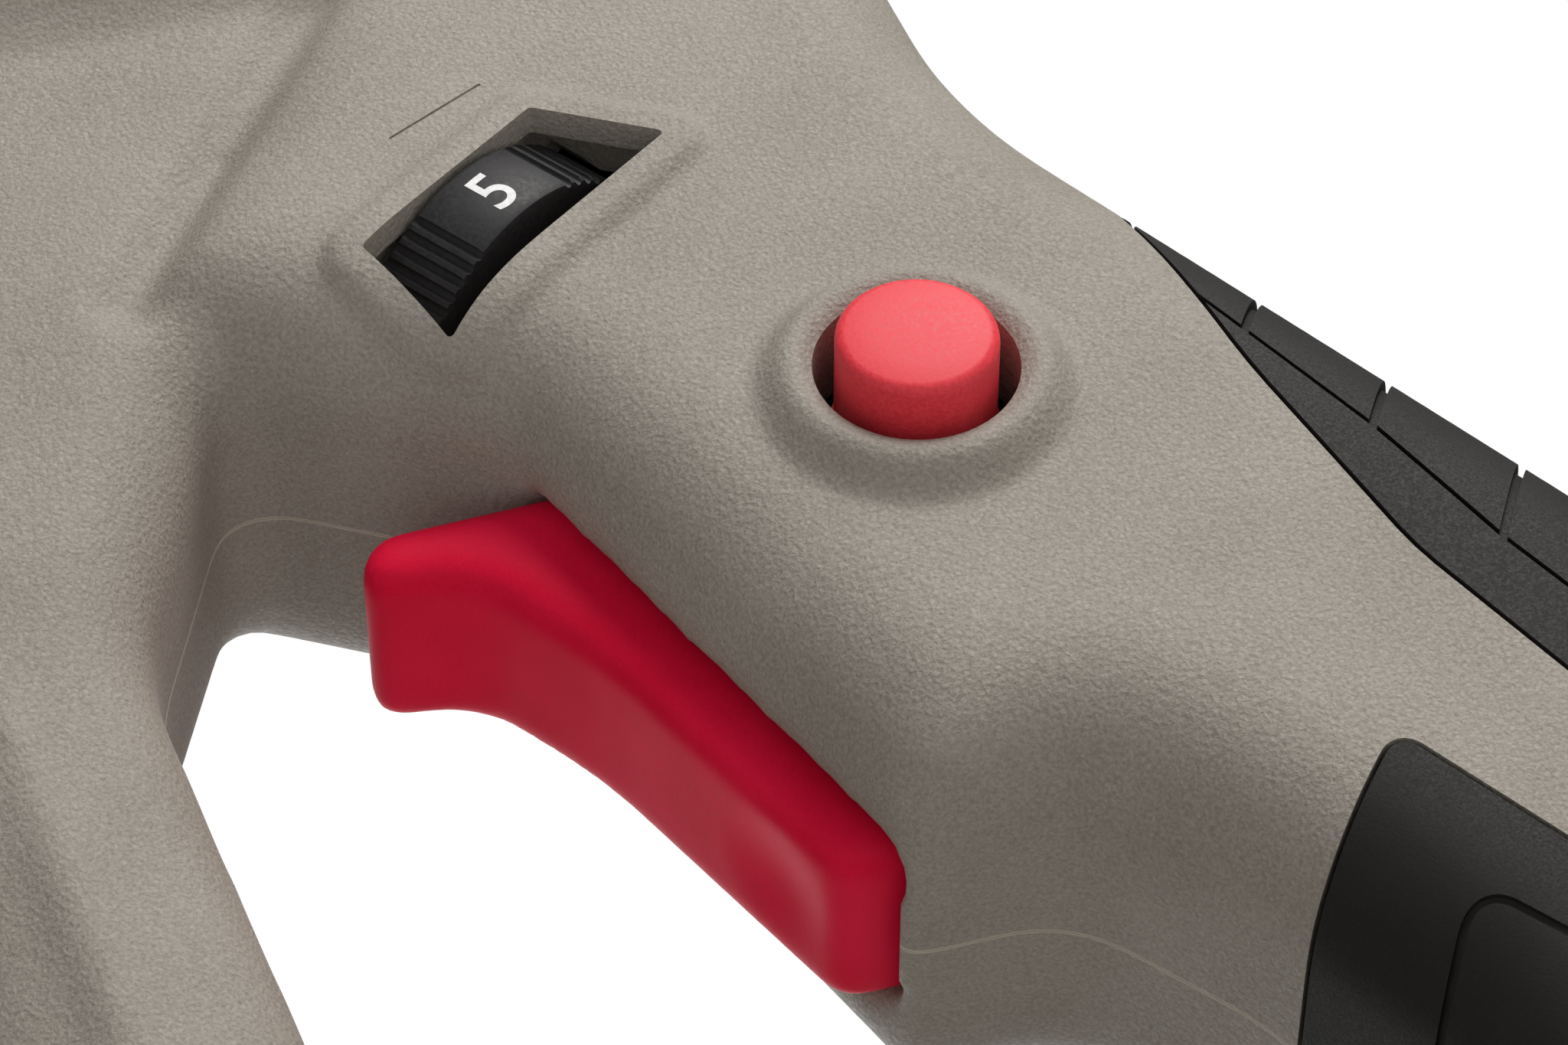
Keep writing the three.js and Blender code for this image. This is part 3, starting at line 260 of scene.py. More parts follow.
def tile(corners, low, high, rim=0.0, inset=0.0, segments=6):
    """A plate with its outline in X and Y, from low to high Z, and its two rims rounded."""
    if inset > 0:
        corners = [(x, y, *radius) if radius and radius[0] > inset + 0.5 else (x, y)
                   for x, y, *radius in corners]
    bm = rounded_face(corners)
    if inset:
        ring = bmesh.ops.inset_region(
            bm, faces=bm.faces[:], thickness=inset, use_boundary=True, use_even_offset=True)
        bmesh.ops.delete(bm, geom=ring["faces"], context="FACES")
    lifted = bmesh.ops.extrude_face_region(bm, geom=bm.faces[:])
    top = [part for part in lifted["geom"] if isinstance(part, bmesh.types.BMVert)]
    bmesh.ops.translate(bm, vec=(0, 0, high - low - 2 * inset), verts=top)
    bmesh.ops.translate(bm, vec=(0, 0, low + inset), verts=bm.verts)
    bmesh.ops.recalc_face_normals(bm, faces=bm.faces)
    if rim > inset:
        rims = [edge for edge in bm.edges
                if abs(edge.verts[0].co.z - edge.verts[1].co.z) < 1e-4
                and min(abs(edge.verts[0].co.z - face) for face in (low + inset, high - inset)) < 1e-3]
        bmesh.ops.bevel(
            bm, geom=rims, offset=rim - inset, offset_type="OFFSET", segments=segments, profile=0.5,
            affect="EDGES", material=-1, clamp_overlap=False)
    return bm


def slab(corners, low, high, rim=0.0, inset=0.0, segments=6):
    """The same plate with its outline in X and Z and its thickness along Y."""
    bm = tile(corners, low, high, rim, inset, segments)
    swap = Matrix(((1, 0, 0, 0), (0, 0, 1, 0), (0, 1, 0, 0), (0, 0, 0, 1)))
    bmesh.ops.transform(bm, matrix=swap, verts=bm.verts)
    bmesh.ops.recalc_face_normals(bm, faces=bm.faces)
    return bm


def block(x0, x1, y0, y1, z0, z1):
    """A box between six faces."""
    bm = bmesh.new()
    bmesh.ops.create_cube(bm, size=1)
    bmesh.ops.scale(bm, vec=(x1 - x0, y1 - y0, z1 - z0), verts=bm.verts)
    bmesh.ops.translate(bm, vec=((x0 + x1) / 2, (y0 + y1) / 2, (z0 + z1) / 2), verts=bm.verts)
    return bm


def turned(profile, at, direction, segments=64):
    """A turned solid: (radius, height) pairs along a direction from a point."""
    bm = bmesh.new()
    points = [bm.verts.new((radius, 0, height)) for radius, height in profile]
    for first, second in zip(points, points[1:]):
        bm.edges.new((first, second))
    bmesh.ops.spin(
        bm, geom=bm.verts[:] + bm.edges[:], cent=(0, 0, 0), axis=(0, 0, 1), dvec=(0, 0, 0),
        angle=2 * math.pi, steps=segments, use_merge=True, use_duplicate=False)
    bmesh.ops.remove_doubles(bm, verts=bm.verts, dist=1e-4)
    turn = Vector((0, 0, 1)).rotation_difference(Vector(direction))
    bmesh.ops.transform(bm, matrix=Matrix.Translation(at) @ turn.to_matrix().to_4x4(), verts=bm.verts)
    bmesh.ops.recalc_face_normals(bm, faces=bm.faces)
    return bm


def rod(radius, at, direction, length, segments=40):
    """A round bar from a point along a direction."""
    return turned([(0, 0), (radius, 0), (radius, length), (0, length)], at, direction, segments)


def evaluated(shape, kind, settings, tool=None):
    """The shape after one modifier, with another solid as its tool if it needs one."""
    objects = []
    for bm in (shape, tool):
        if bm is not None:
            mesh = bpy.data.meshes.new("solid")
            bm.to_mesh(mesh)
            bm.free()
            objects.append(bpy.data.objects.new("solid", mesh))
            bpy.context.collection.objects.link(objects[-1])
    modifier = objects[0].modifiers.new("step", kind)
    for key, value in settings.items():
        setattr(modifier, key, value)
    if tool is not None:
        modifier.object = objects[1]
    result = bmesh.new()
    done = objects[0].evaluated_get(bpy.context.evaluated_depsgraph_get())
    result.from_mesh(done.to_mesh())
    done.to_mesh_clear()
    for item in objects:
        mesh = item.data
        bpy.data.objects.remove(item)
        bpy.data.meshes.remove(mesh)
    return result


def combined(operation, first, *others):
    """A solid after one boolean with each of the others in turn, which are used up."""
    for other in others:
        first = evaluated(first, "BOOLEAN", {"solver": "MANIFOLD", "operation": operation}, other)
    return first


def joined(first, *others):
    return combined("UNION", first, *others)


def cut(first, *others):
    return combined("DIFFERENCE", first, *others)


def kept(first, *others):
    return combined("INTERSECT", first, *others)


def even_mesh(shape, voxel, passes):
    """The solid on an even mesh, with its edges softened by a number of smoothing passes."""
    bm = evaluated(shape, "REMESH", {"mode": "VOXEL", "voxel_size": voxel})
    smooth(bm, bm.verts[:], passes)
    return bm


def smooth(bm, verts, passes):
    """Evens out a number of points with their neighbours."""
    for _ in range(passes):
        bmesh.ops.smooth_vert(
            bm, verts=verts, factor=0.5, use_axis_x=True, use_axis_y=True, use_axis_z=True)


def softened(bm, offset, segments=3, angle=30):
    """Rounds every edge sharper than an angle in degrees."""
    sharp = [edge for edge in bm.edges
             if edge.is_manifold and edge.calc_face_angle(0) > math.radians(angle)]
    bmesh.ops.bevel(
        bm, geom=sharp, offset=offset, offset_type="OFFSET", segments=segments, profile=0.5, affect="EDGES",
        material=-1, clamp_overlap=True)
    return bm


def finished(name, bm, finish, body, replaced=(), crease=35):
    """Turns a shape into a named piece in metres, shaded smooth up to a crease angle, on its body."""
    bmesh.ops.scale(bm, vec=(MM, MM, MM), verts=bm.verts)
    mesh = bpy.data.meshes.new(name)
    bm.to_mesh(mesh)
    bm.free()
    mesh.materials.append(finish.material)
    mesh.shade_smooth()
    mesh.set_sharp_from_angle(angle=math.radians(crease))
    piece = bpy.data.objects.new(name, mesh)
    bpy.context.collection.objects.link(piece)
    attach(piece, body)
    if replaced:
        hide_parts(*replaced)
    return piece


def slimmed(bm):
    """The guard slims from the web's thickness down to its own, over the height of the arch."""
    for vert in bm.verts:
        t = min(max((vert.co.z - 98) / 67, 0), 1)
        t = t * t * (3 - 2 * t)
        vert.co.y *= guard_thin / guard_half * (1 - t) + t
    return bm


def barrel(inset, front, segments=96):
    """The barrel's turned outside, or the hollow in it."""
    profile = [(max(radius - inset, 0), height) for radius, height in barrel_profile]
    profile[0] = (0, -10 + inset)
    profile[1] = (18 - inset, -10 + inset)
    profile[-2] = (21 - inset, front)
    profile[-1] = (0, front)
    return turned(profile, (0, 0, axis_z), (1, 0, 0), segments)


slot_corners = [(41, 142.5), (8, 142.5), (-6, 124.2), (-6, 107.9), (41, 107.9)]
guard = slab(guard_corners, -guard_half, guard_half, guard_round)
bmesh.ops.subdivide_edges(guard, edges=[edge for edge in guard.edges if edge.calc_length() > 12], cuts=6)
outside = joined(
    slab(grip_corners, -grip_half, grip_half, grip_round, segments=8),
    slimmed(guard),
    barrel(0, barrel_front),
    tile(foot_corners, foot_bottom, foot_top, 5))
outside = cut(outside, slab(slot_corners, -trigger_half - gap, trigger_half + gap))
outside = even_mesh(outside, 0.9, 7)

# The handle and the guard flow into the foot and the barrel through wide blends.
junctions = [v for v in outside.verts
             if (foot_top - 2 < v.co.z < foot_top + 10 and abs(v.co.y) < 26 and v.co.x < 70)
             or (182 < v.co.z < 196 and -24 < v.co.x < 84)]
smooth(outside, junctions, 30)

# A narrow valley marks where the guard's web runs into the handle.
crease_top, crease_foot = Vector((25.5, 0, 185)), Vector((45.5, 0, 157.5))
crease_depth, crease_reach = 1.3, 3.2


def fall(distance, start, end):
    """1 up to its start, 0 past its end, and an even slope with soft ends between them."""
    t = min(max((end - distance) / (end - start), 0), 1)
    return t * t * (3 - 2 * t)


for vert in outside.verts:
    if abs(vert.co.y) > 9 and 12 < vert.co.x < 60 and 145 < vert.co.z < 196:
        spot = Vector((vert.co.x, 0, vert.co.z))
        share = intersect_point_line(spot, crease_top, crease_foot)[1]
        reach = (spot - crease_top.lerp(crease_foot, min(max(share, 0), 1))).length
        vert.co.y -= math.copysign(crease_depth * fall(reach, 0, crease_reach), vert.co.y)

# The side of the handle rolls over softly into the trigger's slot.
slot_rim = [v for v in outside.verts if 4 < abs(v.co.y) < 13 and 4 < v.co.x < 32 and 103 < v.co.z < 147]
smooth(outside, slot_rim, 14)

# A finer mesh round the controls takes the button's raised collar and the dial's lip.
button_x, button_z = 3, 134
button_bore = 6.15
collar_crest, collar_foot, collar_rise = 7.5, 10, 2.0
collar_roll = 0.3              # how fast the collar's crest rolls into the bore
lip_flat, lip_foot, lip_rise = 1.5, 3.0, 0.85
dial_x, dial_z = 22.3, 156
dial_lean = math.radians(34.5)
dial_axis = Vector((math.sin(dial_lean), 0, math.cos(dial_lean)))
dial_along = Vector((-math.cos(dial_lean), 0, math.sin(dial_lean)))
slot_centre = Vector((dial_x, 0, dial_z))
dial_radius = 11
dial_half = 2.8
slot_half = 4                  # half the slot's width, across the wheel
dial_proud = 0.8               # how far the wheel stands out of the handle's side
dial_centre = slot_centre + dial_axis * (slot_half - dial_half - gap) + Vector(
    (0, grip_half + dial_proud - dial_radius, 0))
fine = [f for f in outside.faces
        if f.normal.y > 0.3 and f.calc_center_median().y > 10
        and -10 < f.calc_center_median().x < 41 and 120 < f.calc_center_median().z < 172]
bmesh.ops.subdivide_edges(outside, edges=list({e for f in fine for e in f.edges}), cuts=1, use_grid_fill=True)
fine = [v for v in outside.verts
        if v.co.y > 13 and v.normal.y > 0.5 and -10 < v.co.x < 41 and 118 < v.co.z < 174]
smooth(outside, fine, 3)


# The dial's slot is a trapezoid in the side, longer at its lower edge.
slot_points = [slot_centre + dial_along * along + dial_axis * across
               for along, across in (
                   (-8.4, slot_half), (7.2, slot_half), (10.75, -slot_half), (-9.55, -slot_half))]


def slot_distance(point):
    """How far a point on the side lies from the slot's edge."""
    spot = Vector((point.x, 0, point.z))
    reaches = []
    for first, second in zip(slot_points, slot_points[1:] + slot_points[:1]):
        share = intersect_point_line(spot, first, second)[1]
        reaches.append((spot - first.lerp(second, min(max(share, 0), 1))).length)
    return min(reaches)


for vert in fine:
    reach = math.hypot(vert.co.x - button_x, vert.co.z - button_z)
    collar = collar_rise * fall(reach, collar_crest, collar_foot)
    collar -= collar_roll * max(collar_crest - reach, 0) ** 2
    lip = lip_rise * fall(slot_distance(vert.co), lip_flat, lip_foot)
    vert.co.y += max(collar if reach < collar_foot else 0, lip)


def handle_core(depth):
    """The handle's own shape under a layer of the given depth."""
    return slab(grip_corners, -grip_half, grip_half, grip_round, depth, 6)


def pocket(corners):
    """The room for a rubber grip."""
    return cut(slab(corners, -40, 40), handle_core(pad_depth + gap))


def leaning(shape, x, z, lean):
    """Turns a shape about Y and moves it to a place in X and Z."""
    bmesh.ops.transform(
        shape, matrix=Matrix.Translation((x, 0, z)) @ Matrix.Rotation(lean, 4, "Y"), verts=shape.verts)
    return shape


# Each screw's place in X and Z, and the depth of its head under the middle plane.
screw_well, screw_hole = 3.6, 2
housing_screws = {
    "tail": (4, 226, 13), "top": (58, 226, 13), "web": (58, 170, 10.5), "neck": (-10.8, 116, 12.5),
    "guard": (56.5, 100, 6.5), "heel": (-37, 62, 12.5), "toe": (53, 50, 14), "back": (-50, 50, 14)}
guard_hollow = slimmed(slab(guard_corners, -guard_half, guard_half, guard_round, 3))
hollow = joined(
    slab(grip_corners, -grip_half, grip_half, grip_round, wall + pad_depth, 4),
    guard_hollow,
    barrel(wall, barrel_front + 5, 48),
    tile([(-54.4, -31.4, 13.4), (59.4, -31.4, 13.4), (59.4, 31.4, 13.4), (-54.4, 31.4, 13.4)], 43.5, 55.4, 3))
boss_radius = 4.5
bosses = [rod(boss_radius, (x, -60, z), (0, 1, 0), 120, 24) for x, z, _ in housing_screws.values()]
ribs = [rod(27, (x, 0, axis_z), (1, 0, 0), 2, 48) for x in (-7, 51.7, 66)]
hollow = cut(hollow, *bosses, *ribs, rod(boss_radius, (rocker_x, -60, rocker_z), (0, 1, 0), 120, 24))
button_room = rod(button_bore, (button_x, 8, button_z), (0, 1, 0), 20, 72)
dial_room = rod(dial_radius + 0.5, dial_centre - dial_axis * 3.3, dial_axis, 6.4, 96)
spindle_room = rod(1.8, dial_centre - dial_axis * 5.3, dial_axis, 4, 32)
index_half, index_width, index_depth = 3.7, 0.2, 0.12
index_line = leaning(
    block(-index_half, index_half, grip_half - index_depth, 30, -index_width / 2, index_width / 2),
    24.1, 165.65, math.atan2(3.3, 6.6))
under_slot = [slot_centre + (point - slot_centre) * 1.16 for point in slot_points]
slot_relief = kept(slab([(point.x, point.z) for point in under_slot], 9, 16.2), handle_core(1.2))
vent_tools = []
for index in range(4):
    x = 68 + 8 * index
    vent = [(x, 201, 1.4), (x + 3, 201, 1.4), (x + 7, 215, 1.4), (x + 4, 215, 1.4)]
    vent_tools += [slab(vent, -40, -18), slab(vent, 18, 40)]
screw_tools = []
for x, z, head in housing_screws.values():
    screw_tools.append(rod(screw_well, (x, -60, z), (0, 1, 0), 60 - head, 32))
    screw_tools.append(rod(screw_hole, (x, -60, z), (0, 1, 0), 61 + min(head, 11), 20))
openings = joined(
    hollow,
    slab([(point.x, point.z, 0.35) for point in slot_points], 11.4, 22), slot_relief,
    dial_room, spindle_room, button_room, index_line,
    *vent_tools, *screw_tools,
    block(-46.4, 67, -22.4, 22.4, 36.5, 41),
    block(-46.4, 67, -18.4, 18.4, 32, 38),
    block(-43.3, -28.7, -13.3, 13.3, 40.6, 51.4),
    pocket(strap_corners), pocket(panel_corners),
    rod(12.3, (-15, 0, axis_z), (1, 0, 0), 7.7, 64),
    rod(10.3, (-15, 0, axis_z), (1, 0, 0), 12, 64),
    rod(16.8, (106, 0, axis_z), (1, 0, 0), 20, 72),
    rod(2.8, (45, 15, 209), (0, 1, 0), 20, 32),
    rod(6.35, (50, 0, axis_z), (1, 0, 0), 20, 32),
    rod(7.3, (50, 0, axis_z), (1, 0, 0), 6, 32),
    rod(12.4, (60, 0, axis_z), (1, 0, 0), 20, 48),
    block(-2.2, 34, -12.5, 12.5, 184, 218.5),
    block(-8, 22, -2.1, 2.1, 127, 191))

housing_finish = Finish("moulded_nylon", roughness=0.58, ior=1.5)
grain = housing_finish.noise(0.00024, 3, 0.65)
sparkle = housing_finish.specks(0.0004)
mottle = housing_finish.noise(0.012, 3)
# A thin cream line along the middle plane, where the two shells meet, is a painted highlight. It stands in
# for light caught on the seam's bead and lies over the nylon's own colour.
seam_reach = housing_finish.node("ShaderNodeSeparateXYZ", {}, {0: housing_finish.place}, 1).maths("ABSOLUTE")
seam_highlight = housing_finish.ramp(seam_reach, 0.0001, 0.00018, 0.8, 0)
nylon = housing_finish.blend(
    housing_finish.ramp(grain * 0.75 + mottle * 0.25, 0.36, 0.64),
    (0.240, 0.212, 0.178, 1), (0.366, 0.334, 0.292, 1))
housing_finish.feed("Base Color", housing_finish.blend(seam_highlight, nylon, (0.58, 0.53, 0.44, 1)))
housing_finish.feed("Roughness", housing_finish.ramp(sparkle, 0.1, 0.7, 0.5, 0.72))
housing_finish.relief(grain * 0.6 + sparkle * 0.4, 0.00018, 0.9)

skin = outside.copy()
whole = cut(outside, openings)
left_side = block(-160, 260, 0.03, 90, -20, 320)
right_side = block(-160, 260, -90, -0.03, -20, 320)
finished("housing_shell_left", kept(whole.copy(), left_side), housing_finish, "housing",
         ["housing_left"], 32)
finished("housing_shell_right", kept(whole, right_side), housing_finish, "housing",
         ["housing_right"], 32)

# Housing screws: plated steel, button heads with a star-like socket, sunk in round wells on the right.
screw_finish = Finish("plated_steel", metallic=1.0, roughness=0.32)
screw_wear = screw_finish.noise(0.0008, 4, 0.6)
screw_finish.feed("Base Color", screw_finish.blend(
    screw_wear, (0.42, 0.42, 0.43, 1), (0.62, 0.61, 0.60, 1)))
screw_finish.feed("Roughness", screw_finish.ramp(screw_wear, 0.3, 0.7, 0.25, 0.45))
screw_finish.relief(screw_finish.noise(0.0003, 3), 0.00001, 0.5)


def socket_screw(at, direction, head, height, shank, length, socket, depth):
    """A headed screw from the face of its head along its shank, with a six-sided socket."""
    shape = turned([(0, 0), (head - 0.5, 0), (head - 0.12, 0.2), (head, 0.6), (head, height), (shank, height),
                    (shank, height + length), (0, height + length)], at, direction, 40)
    back = Vector(at) - Vector(direction) * 0.5
    return cut(shape, rod(socket, back, direction, depth + 0.5, 6))


def gathered(shapes):
    """Several shapes that don't touch, in one mesh."""
    bm = bmesh.new()
    for shape in shapes:
        mesh = bpy.data.meshes.new("part")
        shape.to_mesh(mesh)
        shape.free()
        bm.from_mesh(mesh)
        bpy.data.meshes.remove(mesh)
    return bm


for name, (x, z, head) in housing_screws.items():
    screw = socket_screw((x, -head - 2.5, z), (0, 1, 0), 3.3, 2.2, 1.7, head + 7.5, 1.4, 1.2)
    finished(f"screw_{name}", screw, screw_finish, "housing", [f"housing_screw_{name}"], 30)

# Rubber grips: a soft strap round the back of the handle and a pad on each side of it.
# They are moulded into shallow pockets, flush with the plastic, and the strap has narrow grooves.
rubber_finish = Finish("grip_rubber", roughness=0.7, specular_ior_level=0.35)
rubber_cloud = rubber_finish.noise(0.006, 3)
rubber_grain = rubber_finish.noise(0.00018, 2, 0.6)
rubber_finish.feed("Base Color", rubber_finish.blend(
    rubber_finish.ramp(rubber_cloud * 0.5 + rubber_grain * 0.5, 0.35, 0.65),
    (0.0065, 0.0056, 0.0052, 1), (0.013, 0.0112, 0.0102, 1)))
rubber_finish.feed("Roughness", rubber_finish.ramp(rubber_grain, 0.3, 0.7, 0.6, 0.8))
rubber_finish.relief(rubber_grain, 0.00004, 0.6)


def pad(corners, low, high):
    """A layer of the handle's skin inside an outline, clear of its pocket by the gap."""
    return cut(kept(skin.copy(), slab(corners, low, high, 0, gap)), handle_core(pad_depth))


neck_x, neck_z = -9.6, 161     # where the handle's back turns into its neck
back_line = math.atan2(29.4, 52.7)
groove_first, groove_pitch, groove_width, groove_depth = 14.2, 10.1, 0.56, 0.6
groove_lean = back_line + math.radians(29)
band_line = [
    (-10, 150), (-12.9, 142.7), (-17.5, 132), (-21.4, 122.9), (-25, 112.5), (-30, 101), (-34.5, 88),
    (-36, 60)]
band_groove = slab(band_line + [(x - 0.38, z - 0.14) for x, z in reversed(band_line)], -40, 40)
grooves = []
for index in range(8):
    down = groove_first + index * groove_pitch
    grooves.append(leaning(
        block(-5, 40, -40, 40, -groove_width / 2, groove_width / 2),
        neck_x - down * math.sin(back_line), neck_z - down * math.cos(back_line), groove_lean))
rear = slab(band_line + [(-70, 60), (-70, 150)], -40, 40)
groove_tool = cut(joined(kept(gathered(grooves), rear), band_groove), handle_core(groove_depth))
finished("grip_strap", cut(pad(strap_corners, -40, 40), groove_tool), rubber_finish, "housing",
         ["back_strap"])
line_width, line_depth = 0.5, 0.3
line_corners = [(-14.2, 90, 2), (-5, 76.5, 4), (-5, 73.5), (-20.5, 73.5, 3), (-20.5, 80.5, 8)]
for side, low, high in (("left", 0, 40), ("right", -40, 0)):
    line = cut(
        slab(line_corners, low, high), slab(line_corners, low - 5, high + 5, 0, line_width),
        handle_core(line_depth))
    finished(f"grip_pad_{side}", cut(pad(panel_corners, low, high), line), rubber_finish, "housing",
             [f"side_pad_{side}"])
skin.free()

# Trigger: one red moulding with a hooked top and a shallow finger hollow near its lower end.
# It slides back into the handle, and an arm at its back pushes the rocker.
red_finish = Finish("red_plastic", roughness=0.45, specular_ior_level=0.1)
red_cloud = red_finish.noise(0.009, 2)
red_grain = red_finish.noise(0.0002, 3, 0.6)
red_finish.feed("Base Color", red_finish.blend(
    red_finish.ramp(red_cloud * 0.6 + red_grain * 0.4, 0.35, 0.65),
    (0.70, 0.003, 0.034, 1), (0.84, 0.008, 0.056, 1)))
red_finish.feed("Roughness", red_finish.ramp(red_grain, 0.3, 0.7, 0.5, 0.64))
red_finish.relief(red_grain, 0.00003, 0.6)
trigger_corners = [
    (12, trigger_top), (34.6, trigger_top - 0.4, 2.4), (37.2, trigger_top - 4.4, 2), (29.8, 136.6, 6),
    (24.4, 128.8, 30), (15.6, trigger_bottom, 2.4), (7, trigger_bottom), (12, 124)]
finger_z, finger_depth, finger_reach = 113.5, 0.6, 5
trigger_shape = even_mesh(slab(trigger_corners, -trigger_half, trigger_half, 1.9, 0, 5), 0.45, 5)
for vert in trigger_shape.verts:
    if vert.normal.x > 0.2:
        hollow_reach = math.hypot(vert.co.z - finger_z, vert.co.y * 0.9)
        vert.co.x -= finger_depth * fall(hollow_reach, 0, finger_reach)
trigger_arm = joined(block(8.6, 18, -3, 3, 129.4, 131.8), rod(2, (10, 0, 116), (-1, 0, 0), 4, 24))
switch_relief = block(0, 15.7, 2.9, 40, 129.3, 138.7)
finished("trigger_lever", cut(joined(trigger_shape, trigger_arm), switch_relief), red_finish, "trigger",
         ["trigger"], 40)

# Power button: a red push button with a slightly domed top, in a round collar.
button_radius, button_rim, button_shoulder = 4.85, 0.7, 20.5
button_profile = [
    (0, 11.4), (1.6, 11.4), (1.6, 12.4), (5.1, 12.4), (5.1, 13.8), (button_radius, 13.8),
    (button_radius, button_shoulder)]
for angle in (0.3, 0.6, 0.9, 1.2, 1.45):
    button_profile.append((
        button_radius - button_rim * (1 - math.cos(angle)), button_shoulder + button_rim * math.sin(angle)))
button_profile += [(2.6, 21.33), (0, 21.4)]
button_finish = Finish("button_plastic", roughness=0.45, specular_ior_level=0.3)
button_grain = button_finish.noise(0.00025, 3)
button_finish.feed("Base Color", button_finish.blend(
    button_finish.ramp(button_grain, 0.35, 0.65), (0.74, 0.034, 0.05, 1), (0.84, 0.056, 0.076, 1)))
button_finish.feed("Roughness", button_finish.ramp(button_grain, 0.3, 0.7, 0.45, 0.58))
button_finish.relief(button_grain, 0.00002, 0.5)
finished("push_button", turned(button_profile, (button_x, 0, button_z), (0, 1, 0), 72), button_finish,
         "power_button", ["power_button"])

# Heat dial: a black thumbwheel whose rim has five smooth faces between groups of ribs.
# Each face carries a pale printed numeral, one to five, and the wheel turns a potentiometer below it.
dial_finish = Finish("dial_plastic", roughness=0.5, specular_ior_level=0.3)
dial_grain = dial_finish.noise(0.0003, 3)
dial_finish.feed("Base Color", dial_finish.blend(
    dial_finish.ramp(dial_grain, 0.35, 0.65), (0.012, 0.011, 0.012, 1), (0.022, 0.02, 0.021, 1)))
dial_finish.feed("Roughness", dial_finish.ramp(dial_grain, 0.3, 0.7, 0.48, 0.62))
dial_finish.relief(dial_grain, 0.00002, 0.5)
dial_shape = turned([
    (0, -dial_half - 1.6), (1.5, -dial_half - 1.6), (1.5, -dial_half), (dial_radius - 0.5, -dial_half),
    (dial_radius - 0.15, -dial_half + 0.15), (dial_radius, -dial_half + 0.5), (dial_radius, dial_half - 0.5),
    (dial_radius - 0.15, dial_half - 0.15), (dial_radius - 0.5, dial_half), (0, dial_half)],
    (0, 0, 0), (0, 0, 1), 144)
face_turn, rib_turn, ribs_per_group, valley_radius = 72, 5.4, 6, 0.36
valleys = []
for index in range(5):
    for rib in range(ribs_per_group):
        angle = math.radians(face_turn * (index + 0.5) + (rib - (ribs_per_group - 1) / 2) * rib_turn)
        foot = (dial_radius * math.sin(angle), dial_radius * math.cos(angle), -4)
        valleys.append(rod(valley_radius, foot, (0, 0, 1), 8, 12))
dial_shape = cut(dial_shape, gathered(valleys))
dial_frame = Matrix((dial_along, Vector((0, 1, 0)), dial_axis)).transposed().to_4x4()
dial_place = Matrix.Translation(dial_centre) @ dial_frame
bmesh.ops.transform(dial_shape, matrix=dial_place, verts=dial_shape.verts)
bmesh.ops.recalc_face_normals(dial_shape, faces=dial_shape.faces)
finished("thumbwheel", dial_shape, dial_finish, "dial", ["dial"])

print_finish = Finish("printed_numerals", roughness=0.55)
print_wear = print_finish.noise(0.0004, 4, 0.7)
print_finish.feed("Base Color", print_finish.blend(
    print_finish.ramp(print_wear, 0.3, 0.6), (0.62, 0.62, 0.62, 1), (0.86, 0.86, 0.86, 1)))
print_finish.feed("Roughness", print_finish.ramp(print_wear, 0.3, 0.7, 0.45, 0.65))
numerals = bmesh.new()
for index in range(5):
    font = bpy.data.curves.new("numeral", "FONT")
    font.body = str(5 - index)
    font.size = 4.7
    font.align_x = "CENTER"
    font.extrude = 0.02
    font.offset = 0.03
    text = bpy.data.objects.new("numeral", font)
    bpy.context.collection.objects.link(text)
    letter = bmesh.new()
    done = text.evaluated_get(bpy.context.evaluated_depsgraph_get())
    letter.from_mesh(done.to_mesh())
    done.to_mesh_clear()
    bpy.data.objects.remove(text)
    bmesh.ops.subdivide_edges(letter, edges=letter.edges, cuts=1)
    bmesh.ops.translate(letter, vec=(0, -1.7, 0), verts=letter.verts)
    for vert in letter.verts:
        turn = math.radians(face_turn * index) + vert.co.x / dial_radius
        radius = dial_radius + vert.co.z + 0.015
        vert.co = Vector((radius * math.sin(turn), radius * math.cos(turn), vert.co.y))
    bmesh.ops.transform(letter, matrix=dial_place, verts=letter.verts)
    mesh = bpy.data.meshes.new("numeral")
    letter.to_mesh(mesh)
    letter.free()
    numerals.from_mesh(mesh)
    bpy.data.meshes.remove(mesh)
bmesh.ops.remove_doubles(numerals, verts=numerals.verts, dist=1e-4)
bmesh.ops.recalc_face_normals(numerals, faces=numerals.faces)
finished("dial_numerals", numerals, print_finish, "dial")

# Glue stick and its tail guide: a waxy translucent stick that slides through a black ring.
glue_finish = Finish("hot_melt_glue", roughness=0.35, ior=1.5, subsurface_weight=0.35, subsurface_scale=0.003)
glue_cloud = glue_finish.noise(0.004, 4)
glue_finish.feed("Base Color", glue_finish.blend(
    glue_finish.ramp(glue_cloud, 0.3, 0.7), (0.80, 0.74, 0.60, 1), (0.88, 0.83, 0.70, 1)))
glue_finish.feed("Roughness", glue_finish.ramp(glue_cloud, 0.3, 0.7, 0.26, 0.45))
glue_finish.relief(glue_finish.noise(0.001, 3), 0.00005, 0.5)
stick_back, stick_length = -104, 174
finished("glue_rod", softened(rod(stick_radius, (stick_back, 0, axis_z), (1, 0, 0), stick_length, 48), 0.4),
         glue_finish, "stick", ["glue_stick"])

